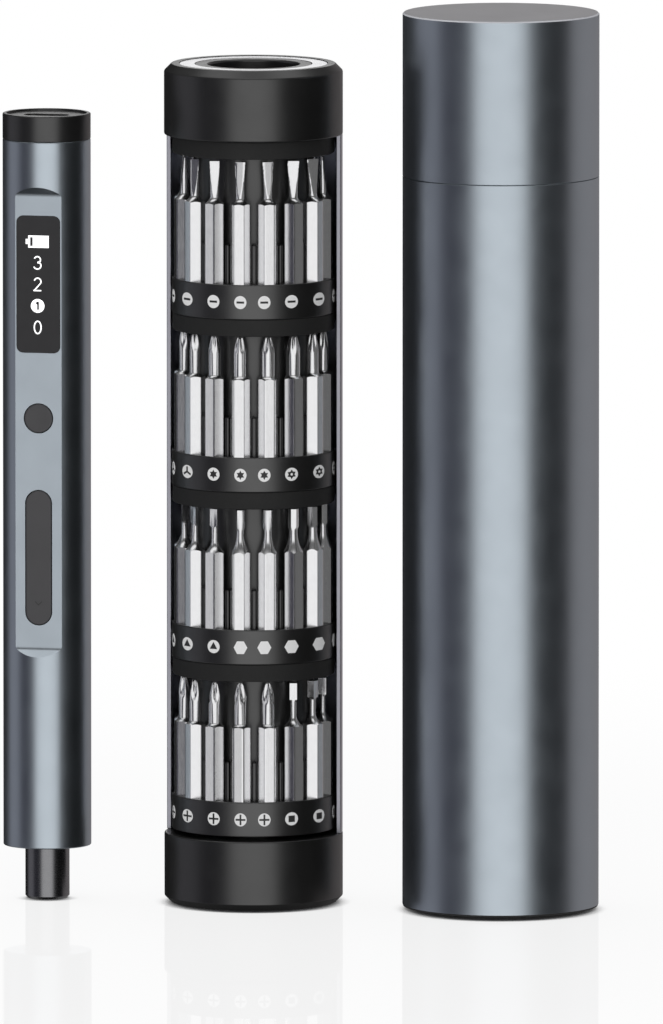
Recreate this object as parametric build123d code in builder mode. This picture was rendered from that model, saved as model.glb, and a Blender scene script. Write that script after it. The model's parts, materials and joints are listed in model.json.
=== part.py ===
from build123d import *
from math import atan2, cos, degrees, radians, sin, sqrt
import os

# A precision screwdriver set in millimetres: a pen-shaped electric driver, a tower that holds
# sixty-four bits in four turning tiers, and a tube case with a lid. The three stand in a row
# along X and face -Y. The origin is on the floor, under the axis of the tower. The tower is
# bored to dock the driver and the case is bored to hold the tower, so their sizes follow.

# Where the driver and the case stand
driver_x = -44.8
driver_y = -3.9
case_x = 54.5

# Clearances
running_gap = 0.05  # a journal in its bearing
lid_gap = 0.05  # the lid over its spigot
pocket_gap = 0.05  # a bit in its pocket or socket
control_gap = 0.15  # a button in its hole
seat_gap = 0.1  # a piece that drops into its seat
port_gap = 0.5  # the charging socket in the cap
turning_gap = 0.4  # faces that turn past each other
dock_gap = 0.25  # the driver in the tower
case_gap = 0.35  # the tower in the case

# Driver: barrel and tail cap
barrel_radius = 9.5
barrel_wall = 2.5
nose_wall = 3.8
tail_length = 11.8  # from the control flat to the cap
cap_height = 5.2
cap_rim = 0.9
cap_dish = 0.7
plug_length = 4.0

# Driver: milled control flat, with what sits on it from the bottom up
panel_depth = 1.5
ramp_run = 1.7
rocker_margin = 4.95
rocker_width = 6.0
rocker_length = 29.3
button_spacing = 15.55
button_radius = 3.2
lens_spacing = 14.4
lens_length = 29.6
lens_margin = 4.4
lens_side = 0.4
lens_corner = 1.1
lens_thickness = 0.9
lens_ledge = 0.8
display_thickness = 1.2
control_proud = 0.2
control_cap = 2.5
flange_lip = 0.4
flange_thickness = 0.5
button_travel = 0.3

# Driver: what it holds inside
switch_size = 3.0
switch_thickness = 0.45
switch_spread = 11.0
board_width = 9.0
board_thickness = 0.8
rail_thickness = 0.7
rail_back = 1.2
ledge_reach = 0.5
ledge_thickness = 0.8
bulkhead = 2.0
cell_gap = 0.5
cell_length = 66.0
motor_gap = 0.6
motor_flats = 10.6
motor_length = 24.0
gearbox_width = 10.4
gearbox_length = 15.5
charge_margin = 0.6
charge_board_thickness = 1.0
port_width = 8.94
port_height = 3.2
port_length = 9.0
port_wall = 0.3
port_depth = 6.2
tongue_width = 6.7
tongue_thickness = 0.7

# Driver: chuck
chuck_radius = 4.78
chuck_reach = 11.5
journal_radius = 3.0
journal_length = 5.8
socket_depth = 9.5
magnet_radius = 1.9
magnet_thickness = 2.0

# Bits
bit_hex = 4.0
bit_length = 28.0
shank_length = 20.2
shoulder_length = 1.6
neck_hex = 2.4
tip_length = 2.4
blade_root = 1.7
blade_thickness = 0.6
cross_web = 0.32  # a share of the tip's width
cross_taper = 14  # degrees
spanner_notch = 0.4  # a share of the blade's width
star_waist = 0.7  # the inner radius of a star, as a share of the outer one
tri_wing_waist = 0.3

# Kinds of bit: their places on a ring, from the front round, with the smallest and largest tip
cross_places = range(-10, 2)
cross_sizes = (1.4, 2.3)
square_places = range(2, 6)
square_sizes = (1.2, 1.9)
triangle_places = range(-4, 0)
triangle_sizes = (0.9, 1.3)
hex_places = range(0, 12)
hex_sizes = (0.9, 2.2)
tri_wing_places = range(-5, -1)
tri_wing_sizes = (0.8, 1.2)
star_places = range(-1, 2)
star_sizes = (0.8, 1.2)
security_star_places = range(2, 7)
security_star_sizes = (0.9, 1.2)
pentalobe_places = range(7, 11)
pentalobe_sizes = (0.6, 1.1)
slotted_places = range(-4, 6)
slotted_sizes = (1.2, 3.0)
spanner_places = range(6, 12)
spanner_sizes = (1.4, 2.8)

# Tower, from its axis outwards
core_wall = 2.85
pivot_step = 0.85
bit_inset = 0.6  # from the core to the bits
bit_margin = 0.4  # from the bits to the edge of the ring
ring_gap = 0.5  # from the ring to the shell
shell_wall = 1.15
bush_wall = 3.35

# Tower, from its base up
base_height = 15.1
base_chamfer = 1.4
pivot_height = 2.9
tiers = 4
bits_per_ring = 16
ring_lift = 0.8
ring_height = 7.5
pocket_depth = 2.5
tip_room = 0.8  # from the tips to the plate above them
plate_thickness = 3.6
top_plate_thickness = 4.4
collar_height = 14.8
collar_chamfer = 1.3

# Case
case_wall = 1.55
case_floor = 2.4
case_headroom = 7.3  # from the tower to the lid, with the tower in the case
case_top = 2.0
lid_height = 34.9
spigot_height = 8.0
spigot_wall = 0.7
foot_inset = 1.75
foot_thickness = 0.6

# Driver levels, from the chuck up
gearbox_low = chuck_reach + nose_wall
gearbox_top = gearbox_low + gearbox_length
motor_top = gearbox_top + motor_length
rails_low = motor_top + bulkhead
panel_low = motor_top
rocker_height = panel_low + rocker_margin + rocker_length / 2
button_height = rocker_height + rocker_length / 2 + button_spacing
lens_height = button_height + lens_spacing + lens_length / 2
panel_top = lens_height + lens_length / 2 + lens_margin
barrel_top = panel_top + tail_length
driver_length = barrel_top + cap_height
port_top = driver_length - cap_dish - seat_gap
charge_board_top = port_top - port_length
chassis_top = charge_board_top - charge_board_thickness
rails_top = chassis_top - bulkhead

# Driver sections
barrel_bore = barrel_radius - barrel_wall
flat_distance = barrel_radius - panel_depth
flat_width = 2 * sqrt(barrel_radius**2 - flat_distance**2)
lens_width = flat_width - 2 * lens_side
board_front = control_cap + flange_thickness + button_travel + running_gap + switch_thickness
board_back = flat_distance - board_front - board_thickness
chassis_radius = barrel_bore - seat_gap
rail_out = sqrt(chassis_radius**2 - board_back**2) - seat_gap
rail_in = rail_out - rail_thickness
bulkhead_reach = sqrt(chassis_radius**2 - rail_out**2)
cell_radius = (chassis_radius + board_back - cell_gap) / 2
cell_offset = chassis_radius - cell_radius
gearbox_depth = 2 * sqrt(chassis_radius**2 - (gearbox_width / 2) ** 2)

# Tower and case, from the dock outwards
dock_bore = barrel_radius + dock_gap
pivot_radius = dock_bore + pivot_step
core_radius = dock_bore + core_wall
bit_circle = core_radius + bit_inset + bit_hex / 2
ring_radius = bit_circle + bit_hex / 2 + bit_margin
shell_bore = ring_radius + ring_gap
tower_radius = shell_bore + shell_wall
bush_radius = core_radius + bush_wall
case_bore = tower_radius + case_gap
case_radius = case_bore + case_wall
spigot_radius = case_bore + spigot_wall

# Tower and case levels
ring_low = base_height + ring_lift
bit_low = ring_low + ring_height - pocket_depth
tier_pitch = ring_height - pocket_depth + bit_length + tip_room + plate_thickness
top_plate_low = ring_low + tiers * tier_pitch - plate_thickness
collar_low = top_plate_low + top_plate_thickness + turning_gap
tower_height = collar_low + collar_height
case_height = foot_thickness + case_floor + tower_height + case_headroom + case_top
case_seam = case_height - lid_height
bit_step = 360 / bits_per_ring
front_angle = -90

driver_side = Plane(origin=(driver_x, driver_y, 0), x_dir=(0, 1, 0), z_dir=(1, 0, 0))
panel = Plane(origin=(driver_x, driver_y - flat_distance, 0), x_dir=(1, 0, 0), z_dir=(0, -1, 0))


def driver_level(height):
    return Plane(origin=(driver_x, driver_y, height))


def case_level(height):
    return Plane(origin=(case_x, 0, height))


def save(piece, name):
    piece.part.label = name
    export_step(piece.part, f"parts/{name}.step")


os.makedirs("parts", exist_ok=True)

# Barrel: a bored bar with a nose wall, and a flat milled along it between two ramps. The cut for
# the flat runs on past the surface of the bar
with BuildPart() as barrel:
    with BuildSketch(driver_level(chuck_reach)):
        Circle(barrel_radius)
    extrude(amount=barrel_top - chuck_reach)
    with BuildSketch(driver_level(gearbox_low)):
        Circle(barrel_bore)
    extrude(amount=barrel_top - gearbox_low, mode=Mode.SUBTRACT)
    with BuildSketch(driver_level(chuck_reach)):
        Circle(chuck_radius + control_gap)
    extrude(amount=nose_wall, mode=Mode.SUBTRACT)
    with BuildSketch(driver_side):
        with BuildLine():
            Polyline(
                (-flat_distance, panel_low),
                (-flat_distance, panel_top),
                (-flat_distance - 2 * panel_depth, panel_top + 2 * ramp_run),
                (-flat_distance - 2 * panel_depth, panel_low - 2 * ramp_run),
                close=True,
            )
        make_face()
    extrude(amount=barrel_radius, both=True, mode=Mode.SUBTRACT)
    with BuildSketch(panel.offset(-lens_thickness)):
        with Locations((0, lens_height)):
            RectangleRounded(lens_width, lens_length, lens_corner)
    extrude(amount=lens_thickness, mode=Mode.SUBTRACT)
    with BuildSketch(panel.offset(-lens_thickness)):
        with Locations((0, lens_height)):
            Rectangle(lens_width - 2 * lens_ledge, lens_length - 2 * lens_ledge)
    extrude(amount=-control_cap, mode=Mode.SUBTRACT)
    with BuildSketch(panel):
        with Locations((0, button_height)):
            Circle(button_radius + control_gap)
        with Locations((0, rocker_height)):
            SlotOverall(rocker_length + 2 * control_gap, rocker_width + 2 * control_gap, rotation=90)
    extrude(amount=-control_cap, mode=Mode.SUBTRACT)

# Tail cap: a dished head over a plug, with the charging port cut right through
with BuildPart() as tail_cap:
    with BuildSketch(driver_level(barrel_top)):
        Circle(barrel_radius)
    extrude(amount=cap_height)
    with BuildSketch(driver_level(driver_length - cap_dish)):
        Circle(barrel_radius - cap_rim)
    extrude(amount=cap_dish, mode=Mode.SUBTRACT)
    with BuildSketch(driver_level(barrel_top - plug_length)):
        Circle(chassis_radius)
    extrude(amount=plug_length)
    with BuildSketch(driver_level(barrel_top - plug_length)):
        SlotOverall(port_width + 2 * port_gap, port_height + 2 * port_gap)
    extrude(amount=plug_length + cap_height, mode=Mode.SUBTRACT)

# Charging socket: a drawn shell with a tongue in it, on a small board of its own
with BuildPart() as usb_socket:
    with BuildSketch(driver_level(charge_board_top)):
        SlotOverall(port_width, port_height)
    extrude(amount=port_length)
    with BuildSketch(driver_level(port_top - port_depth)):
        SlotOverall(port_width - 2 * port_wall, port_height - 2 * port_wall)
        Rectangle(tongue_width, tongue_thickness, mode=Mode.SUBTRACT)
    extrude(amount=port_depth, mode=Mode.SUBTRACT)

with BuildPart() as charge_board:
    with BuildSketch(driver_level(chassis_top)):
        Rectangle(2 * (rail_out - charge_margin), 2 * (bulkhead_reach - charge_margin))
    extrude(amount=charge_board_thickness)

# Display: a lens that lies flush in its pocket, with the panel behind its window
with BuildPart() as display_lens:
    with BuildSketch(panel.offset(-lens_thickness)):
        with Locations((0, lens_height)):
            RectangleRounded(lens_width - 2 * running_gap, lens_length - 2 * running_gap, lens_corner)
    extrude(amount=lens_thickness)

with BuildPart() as display_panel:
    with BuildSketch(panel.offset(-lens_thickness)):
        with Locations((0, lens_height)):
            Rectangle(
                lens_width - 2 * lens_ledge - 2 * seat_gap,
                lens_length - 2 * lens_ledge - 2 * seat_gap,
            )
    extrude(amount=-display_thickness)

# Power button: a round cap with a square flange that keeps it behind the flat
with BuildPart() as power_button:
    with BuildSketch(panel.offset(-control_cap)):
        with Locations((0, button_height)):
            Circle(button_radius)
    extrude(amount=control_cap + control_proud)
    with BuildSketch(panel.offset(-control_cap)):
        with Locations((0, button_height)):
            Rectangle(2 * (button_radius + flange_lip), 2 * (button_radius + flange_lip))
    extrude(amount=-flange_thickness)

# Rocker: a long round-ended cap on a flange, with a half-round fulcrum under its middle
fulcrum_radius = button_travel + switch_thickness
fulcrum_depth = control_cap + flange_thickness
with BuildPart() as rocker:
    with BuildSketch(panel.offset(-control_cap)):
        with Locations((0, rocker_height)):
            SlotOverall(rocker_length, rocker_width, rotation=90)
    extrude(amount=control_cap + control_proud)
    with BuildSketch(panel.offset(-control_cap)):
        with Locations((0, rocker_height)):
            Rectangle(rocker_width + 2 * flange_lip, rocker_length + 2 * flange_lip)
    extrude(amount=-flange_thickness)
    with BuildSketch(driver_side):
        with Locations((fulcrum_depth - flat_distance, rocker_height)):
            Circle(fulcrum_radius)
    extrude(amount=rocker_width / 2, both=True)

# Circuit board, with one switch under the button and one under each end of the rocker
with BuildPart() as circuit_board:
    with BuildSketch(panel.offset(-board_front)):
        with Locations((0, (rails_low + rails_top) / 2)):
            Rectangle(board_width, rails_top - rails_low - 2 * seat_gap)
    extrude(amount=-board_thickness)

switch_heights = [button_height, rocker_height - switch_spread, rocker_height + switch_spread]
with BuildPart() as tact_switches:
    with BuildSketch(panel.offset(-board_front)):
        with Locations(*[(0, height) for height in switch_heights]):
            Rectangle(switch_size, switch_size)
    extrude(amount=switch_thickness)

# Chassis: two bulkheads joined by rails, with ledges that carry the circuit board
with BuildPart() as chassis:
    with BuildSketch(driver_level(motor_top)):
        Rectangle(2 * rail_out, 2 * bulkhead_reach)
    extrude(amount=bulkhead)
    with BuildSketch(driver_level(rails_top)):
        Rectangle(2 * rail_out, 2 * bulkhead_reach)
    extrude(amount=bulkhead)
    with BuildSketch(driver_level(rails_low)):
        with BuildLine():
            Polyline(
                (rail_in, rail_back),
                (rail_out, rail_back),
                (rail_out, -board_back),
                (board_width / 2 - ledge_reach, -board_back),
                (board_width / 2 - ledge_reach, -board_back + ledge_thickness),
                (rail_in, -board_back + ledge_thickness),
                close=True,
            )
        make_face()
        mirror(about=Plane.YZ)
    extrude(amount=rails_top - rails_low)

with BuildPart() as battery_cell:
    with BuildSketch(Plane(origin=(driver_x, driver_y + cell_offset, rails_low))):
        Circle(cell_radius)
    extrude(amount=cell_length)

with BuildPart() as motor:
    with BuildSketch(driver_level(gearbox_top)):
        Circle(barrel_bore - motor_gap)
        Rectangle(2 * barrel_bore, motor_flats, mode=Mode.INTERSECT)
    extrude(amount=motor_length)

# Gearbox: a closed block that stands on the nose wall, with the bearing of the chuck's journal
with BuildPart() as gearbox:
    with BuildSketch(driver_level(gearbox_low)):
        Rectangle(gearbox_width, gearbox_depth)
    extrude(amount=gearbox_length)
    with BuildSketch(driver_level(gearbox_low)):
        Circle(journal_radius + running_gap)
    extrude(amount=journal_length, mode=Mode.SUBTRACT)

# Chuck: a turned nose with a hex socket, and a journal that runs in the gearbox
shoulder_top = gearbox_low - turning_gap
with BuildPart() as chuck:
    with BuildSketch(driver_level(0)):
        Circle(chuck_radius)
    extrude(amount=shoulder_top)
    with BuildSketch(driver_level(shoulder_top)):
        Circle(journal_radius)
    extrude(amount=journal_length)
    with BuildSketch(driver_level(0)):
        RegularPolygon(bit_hex / 2 + pocket_gap, 6, major_radius=False)
    extrude(amount=socket_depth + magnet_thickness, mode=Mode.SUBTRACT)

with BuildPart() as bit_magnet:
    with BuildSketch(driver_level(socket_depth)):
        Circle(magnet_radius)
    extrude(amount=magnet_thickness)

# Tower base, with a boss that the core turns on and the driver stands on
with BuildPart() as tower_base:
    with BuildSketch():
        Circle(tower_radius)
    extrude(amount=base_height)
    chamfer(tower_base.edges().group_by(Axis.Z)[0], base_chamfer)
    with BuildSketch(Plane.XY.offset(base_height)):
        Circle(pivot_radius)
    extrude(amount=pivot_height)

# Half-round shell that carries the collar from the back
with BuildPart() as back_shell:
    with BuildSketch(Plane.XY.offset(base_height)):
        Circle(tower_radius)
        Circle(shell_bore, mode=Mode.SUBTRACT)
        Rectangle(
            2 * tower_radius, tower_radius, align=(Align.CENTER, Align.MAX), mode=Mode.SUBTRACT
        )
    extrude(amount=collar_low - base_height)

with BuildPart() as top_collar:
    with BuildSketch(Plane.XY.offset(collar_low)):
        Circle(tower_radius)
    extrude(amount=collar_height)
    chamfer(top_collar.edges().group_by(Axis.Z)[-1], collar_chamfer)
    with BuildSketch(Plane.XY.offset(collar_low)):
        Circle(bush_radius)
    extrude(amount=collar_height, mode=Mode.SUBTRACT)

with BuildPart() as collar_bush:
    with BuildSketch(Plane.XY.offset(collar_low)):
        Circle(bush_radius)
        Circle(core_radius + running_gap, mode=Mode.SUBTRACT)
    extrude(amount=collar_height)

# Core tube: the dock for the driver, stepped over the pivot, with its rim flush in the collar
with BuildPart() as core_tube:
    with BuildSketch(Plane.XY.offset(base_height + turning_gap)):
        Circle(core_radius)
        Circle(dock_bore, mode=Mode.SUBTRACT)
    extrude(amount=tower_height - base_height - turning_gap)
    with BuildSketch(Plane.XY.offset(base_height + turning_gap)):
        Circle(pivot_radius + running_gap)
    extrude(amount=pivot_height, mode=Mode.SUBTRACT)

# Bit rings: hex pockets all round, and a plate over the tips of the tier below
with BuildPart() as bit_rings:
    for tier in range(tiers):
        ring_top = ring_low + tier * tier_pitch + ring_height
        ring_depth = ring_height if tier == 0 else ring_height + plate_thickness
        with BuildSketch(Plane.XY.offset(ring_top - ring_depth)):
            Circle(ring_radius)
            Circle(core_radius, mode=Mode.SUBTRACT)
        extrude(amount=ring_depth)
        with BuildSketch(Plane.XY.offset(ring_top - pocket_depth)):
            with PolarLocations(bit_circle, bits_per_ring, start_angle=front_angle):
                RegularPolygon(bit_hex / 2 + pocket_gap, 6, major_radius=False)
        extrude(amount=pocket_depth, mode=Mode.SUBTRACT)
    with BuildSketch(Plane.XY.offset(top_plate_low)):
        Circle(ring_radius)
        Circle(core_radius, mode=Mode.SUBTRACT)
    extrude(amount=top_plate_thickness)

# Bits: a hex shank with a ground shoulder, and above it the tip that gives each kind its name
neck_low = shank_length + shoulder_length
tip_low = bit_length - tip_length
shoulder_taper = degrees(atan2((bit_hex - neck_hex) / 2, shoulder_length))

with BuildPart() as shank:
    with BuildSketch():
        RegularPolygon(bit_hex / 2, 6, major_radius=False)
    extrude(amount=shank_length)
    with BuildSketch(Plane.XY.offset(shank_length)):
        RegularPolygon(bit_hex / 2, 6, major_radius=False)
    extrude(amount=shoulder_length, taper=shoulder_taper)

# Neck under a tip that is too fine to run down to the shoulder
with BuildPart() as neck:
    with BuildSketch(Plane.XY.offset(neck_low)):
        RegularPolygon(neck_hex / 2, 6, major_radius=False)
    extrude(amount=tip_low - neck_low)


# A blade lies along the ring, so its flat faces out
def blade_tip(width, notch):
    with BuildPart() as tip:
        with BuildSketch(Plane.YZ):
            with BuildLine():
                Polyline(
                    (-blade_root / 2, neck_low),
                    (blade_root / 2, neck_low),
                    (width / 2, bit_length),
                    (-width / 2, bit_length),
                    close=True,
                )
            make_face()
        extrude(amount=blade_root / 2, both=True)
        with BuildSketch(Plane.XZ):
            with BuildLine():
                Polyline(
                    (-blade_root / 2, neck_low),
                    (blade_root / 2, neck_low),
                    (blade_thickness / 2, bit_length),
                    (-blade_thickness / 2, bit_length),
                    close=True,
                )
            make_face()
        extrude(amount=width, both=True, mode=Mode.INTERSECT)
        if notch:
            with BuildSketch(Plane.XY.offset(tip_low)):
                Rectangle(neck_hex, notch * width)
            extrude(amount=tip_length, mode=Mode.SUBTRACT)
    return tip.part


def star_tip(points, outer, waist):
    corners = []
    for corner in range(2 * points):
        reach = waist * outer if corner % 2 else outer
        angle = radians(corner * 180 / points)
        corners.append((reach * cos(angle), reach * sin(angle)))
    with BuildPart() as tip:
        add(neck.part)
        with BuildSketch(Plane.XY.offset(tip_low)):
            with BuildLine():
                Polyline(*corners, close=True)
            make_face()
        extrude(amount=tip_length)
    return tip.part


def flat_sided_tip(sides, across):
    with BuildPart() as tip:
        with BuildSketch(Plane.XY.offset(neck_low)):
            RegularPolygon(across / 2, sides, major_radius=False)
        extrude(amount=bit_length - neck_low)
    return tip.part


def cross_tip(width):
    with BuildPart() as tip:
        with BuildSketch(Plane.XY.offset(tip_low)):
            Rectangle(width, cross_web * width)
            Rectangle(cross_web * width, width)
        extrude(amount=tip_length)
        with BuildSketch(Plane.XY.offset(tip_low)):
            Rectangle(width, width)
        extrude(amount=tip_length, taper=cross_taper, mode=Mode.INTERSECT)
        add(neck.part)
    return tip.part


def save_bits(name, tier, places, tip_sizes, make_tip):
    smallest, largest = tip_sizes
    growth = (largest - smallest) / (len(places) - 1)
    tips = [make_tip(smallest + number * growth) for number in range(len(places))]
    with BuildPart() as bits:
        for place, tip in zip(places, tips):
            angle = front_angle + place * bit_step
            spot = (bit_circle * cos(radians(angle)), bit_circle * sin(radians(angle)))
            with Locations(Location((*spot, bit_low + tier * tier_pitch), (0, 0, angle))):
                add(shank.part)
                add(tip)
    save(bits, name)


# Tiers count from the bottom
save_bits("cross_bits", 0, cross_places, cross_sizes, cross_tip)
save_bits("square_bits", 0, square_places, square_sizes, lambda across: flat_sided_tip(4, across))
save_bits("triangle_bits", 1, triangle_places, triangle_sizes, lambda across: flat_sided_tip(3, across))
save_bits("hex_bits", 1, hex_places, hex_sizes, lambda across: flat_sided_tip(6, across))
save_bits(
    "tri_wing_bits", 2, tri_wing_places, tri_wing_sizes, lambda reach: star_tip(3, reach, tri_wing_waist)
)
save_bits("star_bits", 2, star_places, star_sizes, lambda reach: star_tip(6, reach, star_waist))
save_bits(
    "security_star_bits",
    2,
    security_star_places,
    security_star_sizes,
    lambda reach: star_tip(6, reach, star_waist),
)
save_bits(
    "pentalobe_bits", 2, pentalobe_places, pentalobe_sizes, lambda reach: star_tip(5, reach, star_waist)
)
save_bits("slotted_bits", 3, slotted_places, slotted_sizes, lambda width: blade_tip(width, 0))
save_bits("spanner_bits", 3, spanner_places, spanner_sizes, lambda width: blade_tip(width, spanner_notch))

# Case: a tube closed at the bottom, turned down at the top to a spigot for the lid
with BuildPart() as case_tube:
    with BuildSketch(case_level(foot_thickness)):
        Circle(case_radius)
    extrude(amount=case_seam - foot_thickness)
    with BuildSketch(case_level(case_seam)):
        Circle(spigot_radius)
    extrude(amount=spigot_height)
    with BuildSketch(case_level(foot_thickness + case_floor)):
        Circle(case_bore)
    extrude(amount=case_seam + spigot_height - foot_thickness - case_floor, mode=Mode.SUBTRACT)

with BuildPart() as case_foot:
    with BuildSketch(case_level(0)):
        Circle(case_radius - foot_inset)
    extrude(amount=foot_thickness)

# Lid: bored to slip over the spigot
with BuildPart() as case_lid:
    with BuildSketch(case_level(case_seam + seat_gap)):
        Circle(case_radius)
    extrude(amount=case_height - case_seam - seat_gap)
    with BuildSketch(case_level(case_seam + seat_gap)):
        Circle(spigot_radius + lid_gap)
    extrude(amount=case_height - case_seam - seat_gap - case_top, mode=Mode.SUBTRACT)

save(barrel, "barrel")
save(tail_cap, "tail_cap")
save(usb_socket, "usb_socket")
save(charge_board, "charge_board")
save(display_lens, "display_lens")
save(display_panel, "display_panel")
save(power_button, "power_button")
save(rocker, "rocker")
save(circuit_board, "circuit_board")
save(tact_switches, "tact_switches")
save(chassis, "chassis")
save(battery_cell, "battery_cell")
save(motor, "motor")
save(gearbox, "gearbox")
save(chuck, "chuck")
save(bit_magnet, "bit_magnet")
save(tower_base, "tower_base")
save(back_shell, "back_shell")
save(top_collar, "top_collar")
save(collar_bush, "collar_bush")
save(core_tube, "core_tube")
save(bit_rings, "bit_rings")
save(case_tube, "case_tube")
save(case_foot, "case_foot")
save(case_lid, "case_lid")
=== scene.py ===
import bmesh
import bpy
import json
from math import atan2, ceil, cos, pi, radians, sin, tan
from mathutils import Matrix, Vector

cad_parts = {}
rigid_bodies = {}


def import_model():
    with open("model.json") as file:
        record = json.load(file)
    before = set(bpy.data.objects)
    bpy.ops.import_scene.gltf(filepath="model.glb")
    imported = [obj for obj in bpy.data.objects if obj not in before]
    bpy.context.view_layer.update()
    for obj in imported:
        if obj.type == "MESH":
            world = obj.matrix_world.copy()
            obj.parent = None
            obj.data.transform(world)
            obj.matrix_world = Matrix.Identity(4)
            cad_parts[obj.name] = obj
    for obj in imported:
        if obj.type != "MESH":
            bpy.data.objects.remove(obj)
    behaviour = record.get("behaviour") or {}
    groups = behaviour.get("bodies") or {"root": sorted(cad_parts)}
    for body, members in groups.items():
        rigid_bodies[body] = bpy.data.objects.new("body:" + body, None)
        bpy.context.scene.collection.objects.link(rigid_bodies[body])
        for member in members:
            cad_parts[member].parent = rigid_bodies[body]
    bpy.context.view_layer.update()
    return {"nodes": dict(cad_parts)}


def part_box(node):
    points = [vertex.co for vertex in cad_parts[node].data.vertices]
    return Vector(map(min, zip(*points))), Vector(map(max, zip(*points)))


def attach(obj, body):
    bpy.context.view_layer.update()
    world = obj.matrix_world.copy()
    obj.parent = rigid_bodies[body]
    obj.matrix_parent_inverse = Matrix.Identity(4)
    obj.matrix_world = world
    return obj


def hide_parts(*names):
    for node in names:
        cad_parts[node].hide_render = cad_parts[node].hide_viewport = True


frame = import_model()
mm = 0.001
tiny = 1e-7  # metres
squareOn = 0.99  # part of a normal along an axis that makes a face flat


# frame helpers

def nodeBox(node):
    low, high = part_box(node)
    return Vector(low), Vector(high)


def axisOf(node):
    low, high = nodeBox(node)
    return Vector(((low.x + high.x) / 2, (low.y + high.y) / 2, 0))


def radiusOf(node):
    low, high = nodeBox(node)
    return (high.x - low.x) / 2


def dress(piece, body, material, nodes=()):
    piece.data.materials.clear()
    piece.data.materials.append(material)
    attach(piece, body)
    if nodes:
        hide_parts(*nodes)


def paintFaces(piece, material, chosen):
    # the chosen faces get a finish of their own
    piece.data.materials.append(material)
    for face in piece.data.polygons:
        if chosen(face):
            face.material_index = len(piece.data.materials) - 1


# mesh helpers

def addObject(name, data):
    added = bpy.data.objects.new(name, data)
    bpy.context.scene.collection.objects.link(added)
    return added


def smooth(mesh, sharpAngle):
    mesh.shade_smooth()
    mesh.set_sharp_from_angle(angle=radians(sharpAngle))


def pieceFrom(name, bm, sharpAngle=32):
    bmesh.ops.remove_doubles(bm, verts=bm.verts, dist=tiny)
    bmesh.ops.recalc_face_normals(bm, faces=bm.faces)
    mesh = bpy.data.meshes.new(name)
    bm.to_mesh(mesh)
    bm.free()
    smooth(mesh, sharpAngle)
    return addObject(name, mesh)


def meshOf(piece):
    # keeps the mesh alone
    mesh = piece.data
    bpy.data.objects.remove(piece)
    return mesh


def bake(piece, sharpAngle=None):
    depsgraph = bpy.context.evaluated_depsgraph_get()
    mesh = bpy.data.meshes.new_from_object(piece.evaluated_get(depsgraph), depsgraph=depsgraph)
    piece.modifiers.clear()
    piece.data = mesh
    mesh.name = piece.name
    if sharpAngle:
        smooth(mesh, sharpAngle)


def roundCorners(corners, steps=5, hold=0.06 * mm):
    # corners are (x, y, rounding) round a closed outline; the hold points keep the straights flat
    outline = []
    for number, (x, y, rounding) in enumerate(corners):
        here = Vector((x, y))
        if not rounding:
            outline.append(here)
            continue
        back = (Vector(corners[number - 1][:2]) - here).normalized()
        ahead = (Vector(corners[(number + 1) % len(corners)][:2]) - here).normalized()
        half = back.angle(ahead) / 2
        reach = rounding / tan(half)
        centre = here + (back + ahead).normalized() * rounding / sin(half)
        start = here + back * reach
        end = here + ahead * reach
        outline.append(start + back * hold)
        for step in range(steps + 1):
            outline.append(centre + (start - centre).slerp(end - centre, step / steps) * rounding)
        outline.append(end + ahead * hold)
    return outline


def joinLoops(bm, loops, closed=False):
    pairs = list(zip(loops, loops[1:]))
    if closed:
        pairs.append((loops[-1], loops[0]))
    for lower, upper in pairs:
        count = max(len(lower), len(upper))
        if count == 1:
            continue
        for side in range(count):
            after = (side + 1) % count
            corners = [lower[side % len(lower)], lower[after % len(lower)]]
            corners += [upper[after % len(upper)], upper[side % len(upper)]]
            bm.faces.new(dict.fromkeys(corners))


def capLoops(bm, loops):
    joinLoops(bm, loops)
    bm.faces.new(loops[0])
    bm.faces.new(loops[-1])


def addPrism(bm, outline, low, high, place):
    capLoops(bm, [[bm.verts.new(place @ Vector((x, y, level))) for x, y in outline] for level in (low, high)])


def circlePoints(radius, count, turnBy=0):
    turns = [2 * pi * number / count + turnBy for number in range(count)]
    return [(radius * cos(turn), radius * sin(turn)) for turn in turns]


def rectangle(x, y, width, height):
    left, right = x - width / 2, x + width / 2
    low, high = y - height / 2, y + height / 2
    return [(left, low), (right, low), (right, high), (left, high)]


def polygonRadius(turn, sides, across):
    step = 2 * pi / sides
    return across / 2 / cos((turn + step / 2) % step - step / 2)


def lathe(name, corners, centre, segments=144, steps=5, sidesAt=None):
    # corners are (radius, height, rounding) round a closed section; sidesAt makes some rings polygons
    bm = bmesh.new()
    rings = []
    for radius, height in roundCorners(corners, steps):
        sides = sidesAt(radius, height) if sidesAt else 0
        ring = []
        for number in range(segments if radius > tiny else 1):
            turn = 2 * pi * number / segments
            reach = polygonRadius(turn, sides, 2 * radius) if sides else radius
            ring.append(bm.verts.new((centre.x + reach * cos(turn), centre.y + reach * sin(turn), height)))
        rings.append(ring)
    joinLoops(bm, rings, closed=True)
    return pieceFrom(name, bm)


def slab(name, outlineAt, layers, place):
    # layers are (inset, height) from the bottom up
    bm = bmesh.new()
    loops = []
    for inset, height in layers:
        loops.append([bm.verts.new(place @ Vector((x, y, height))) for x, y in outlineAt(inset)])
    capLoops(bm, loops)
    return pieceFrom(name, bm)


def roundedTop(bottom, top, rounding, steps=4, hold=0.05 * mm):
    layers = [(0, bottom), (0, top - rounding - hold)]
    for step in range(steps + 1):
        turn = step / steps * pi / 2
        layers.append((rounding * (1 - cos(turn)), top - rounding * (1 - sin(turn))))
    layers.append((rounding + hold, top))
    return layers


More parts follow.
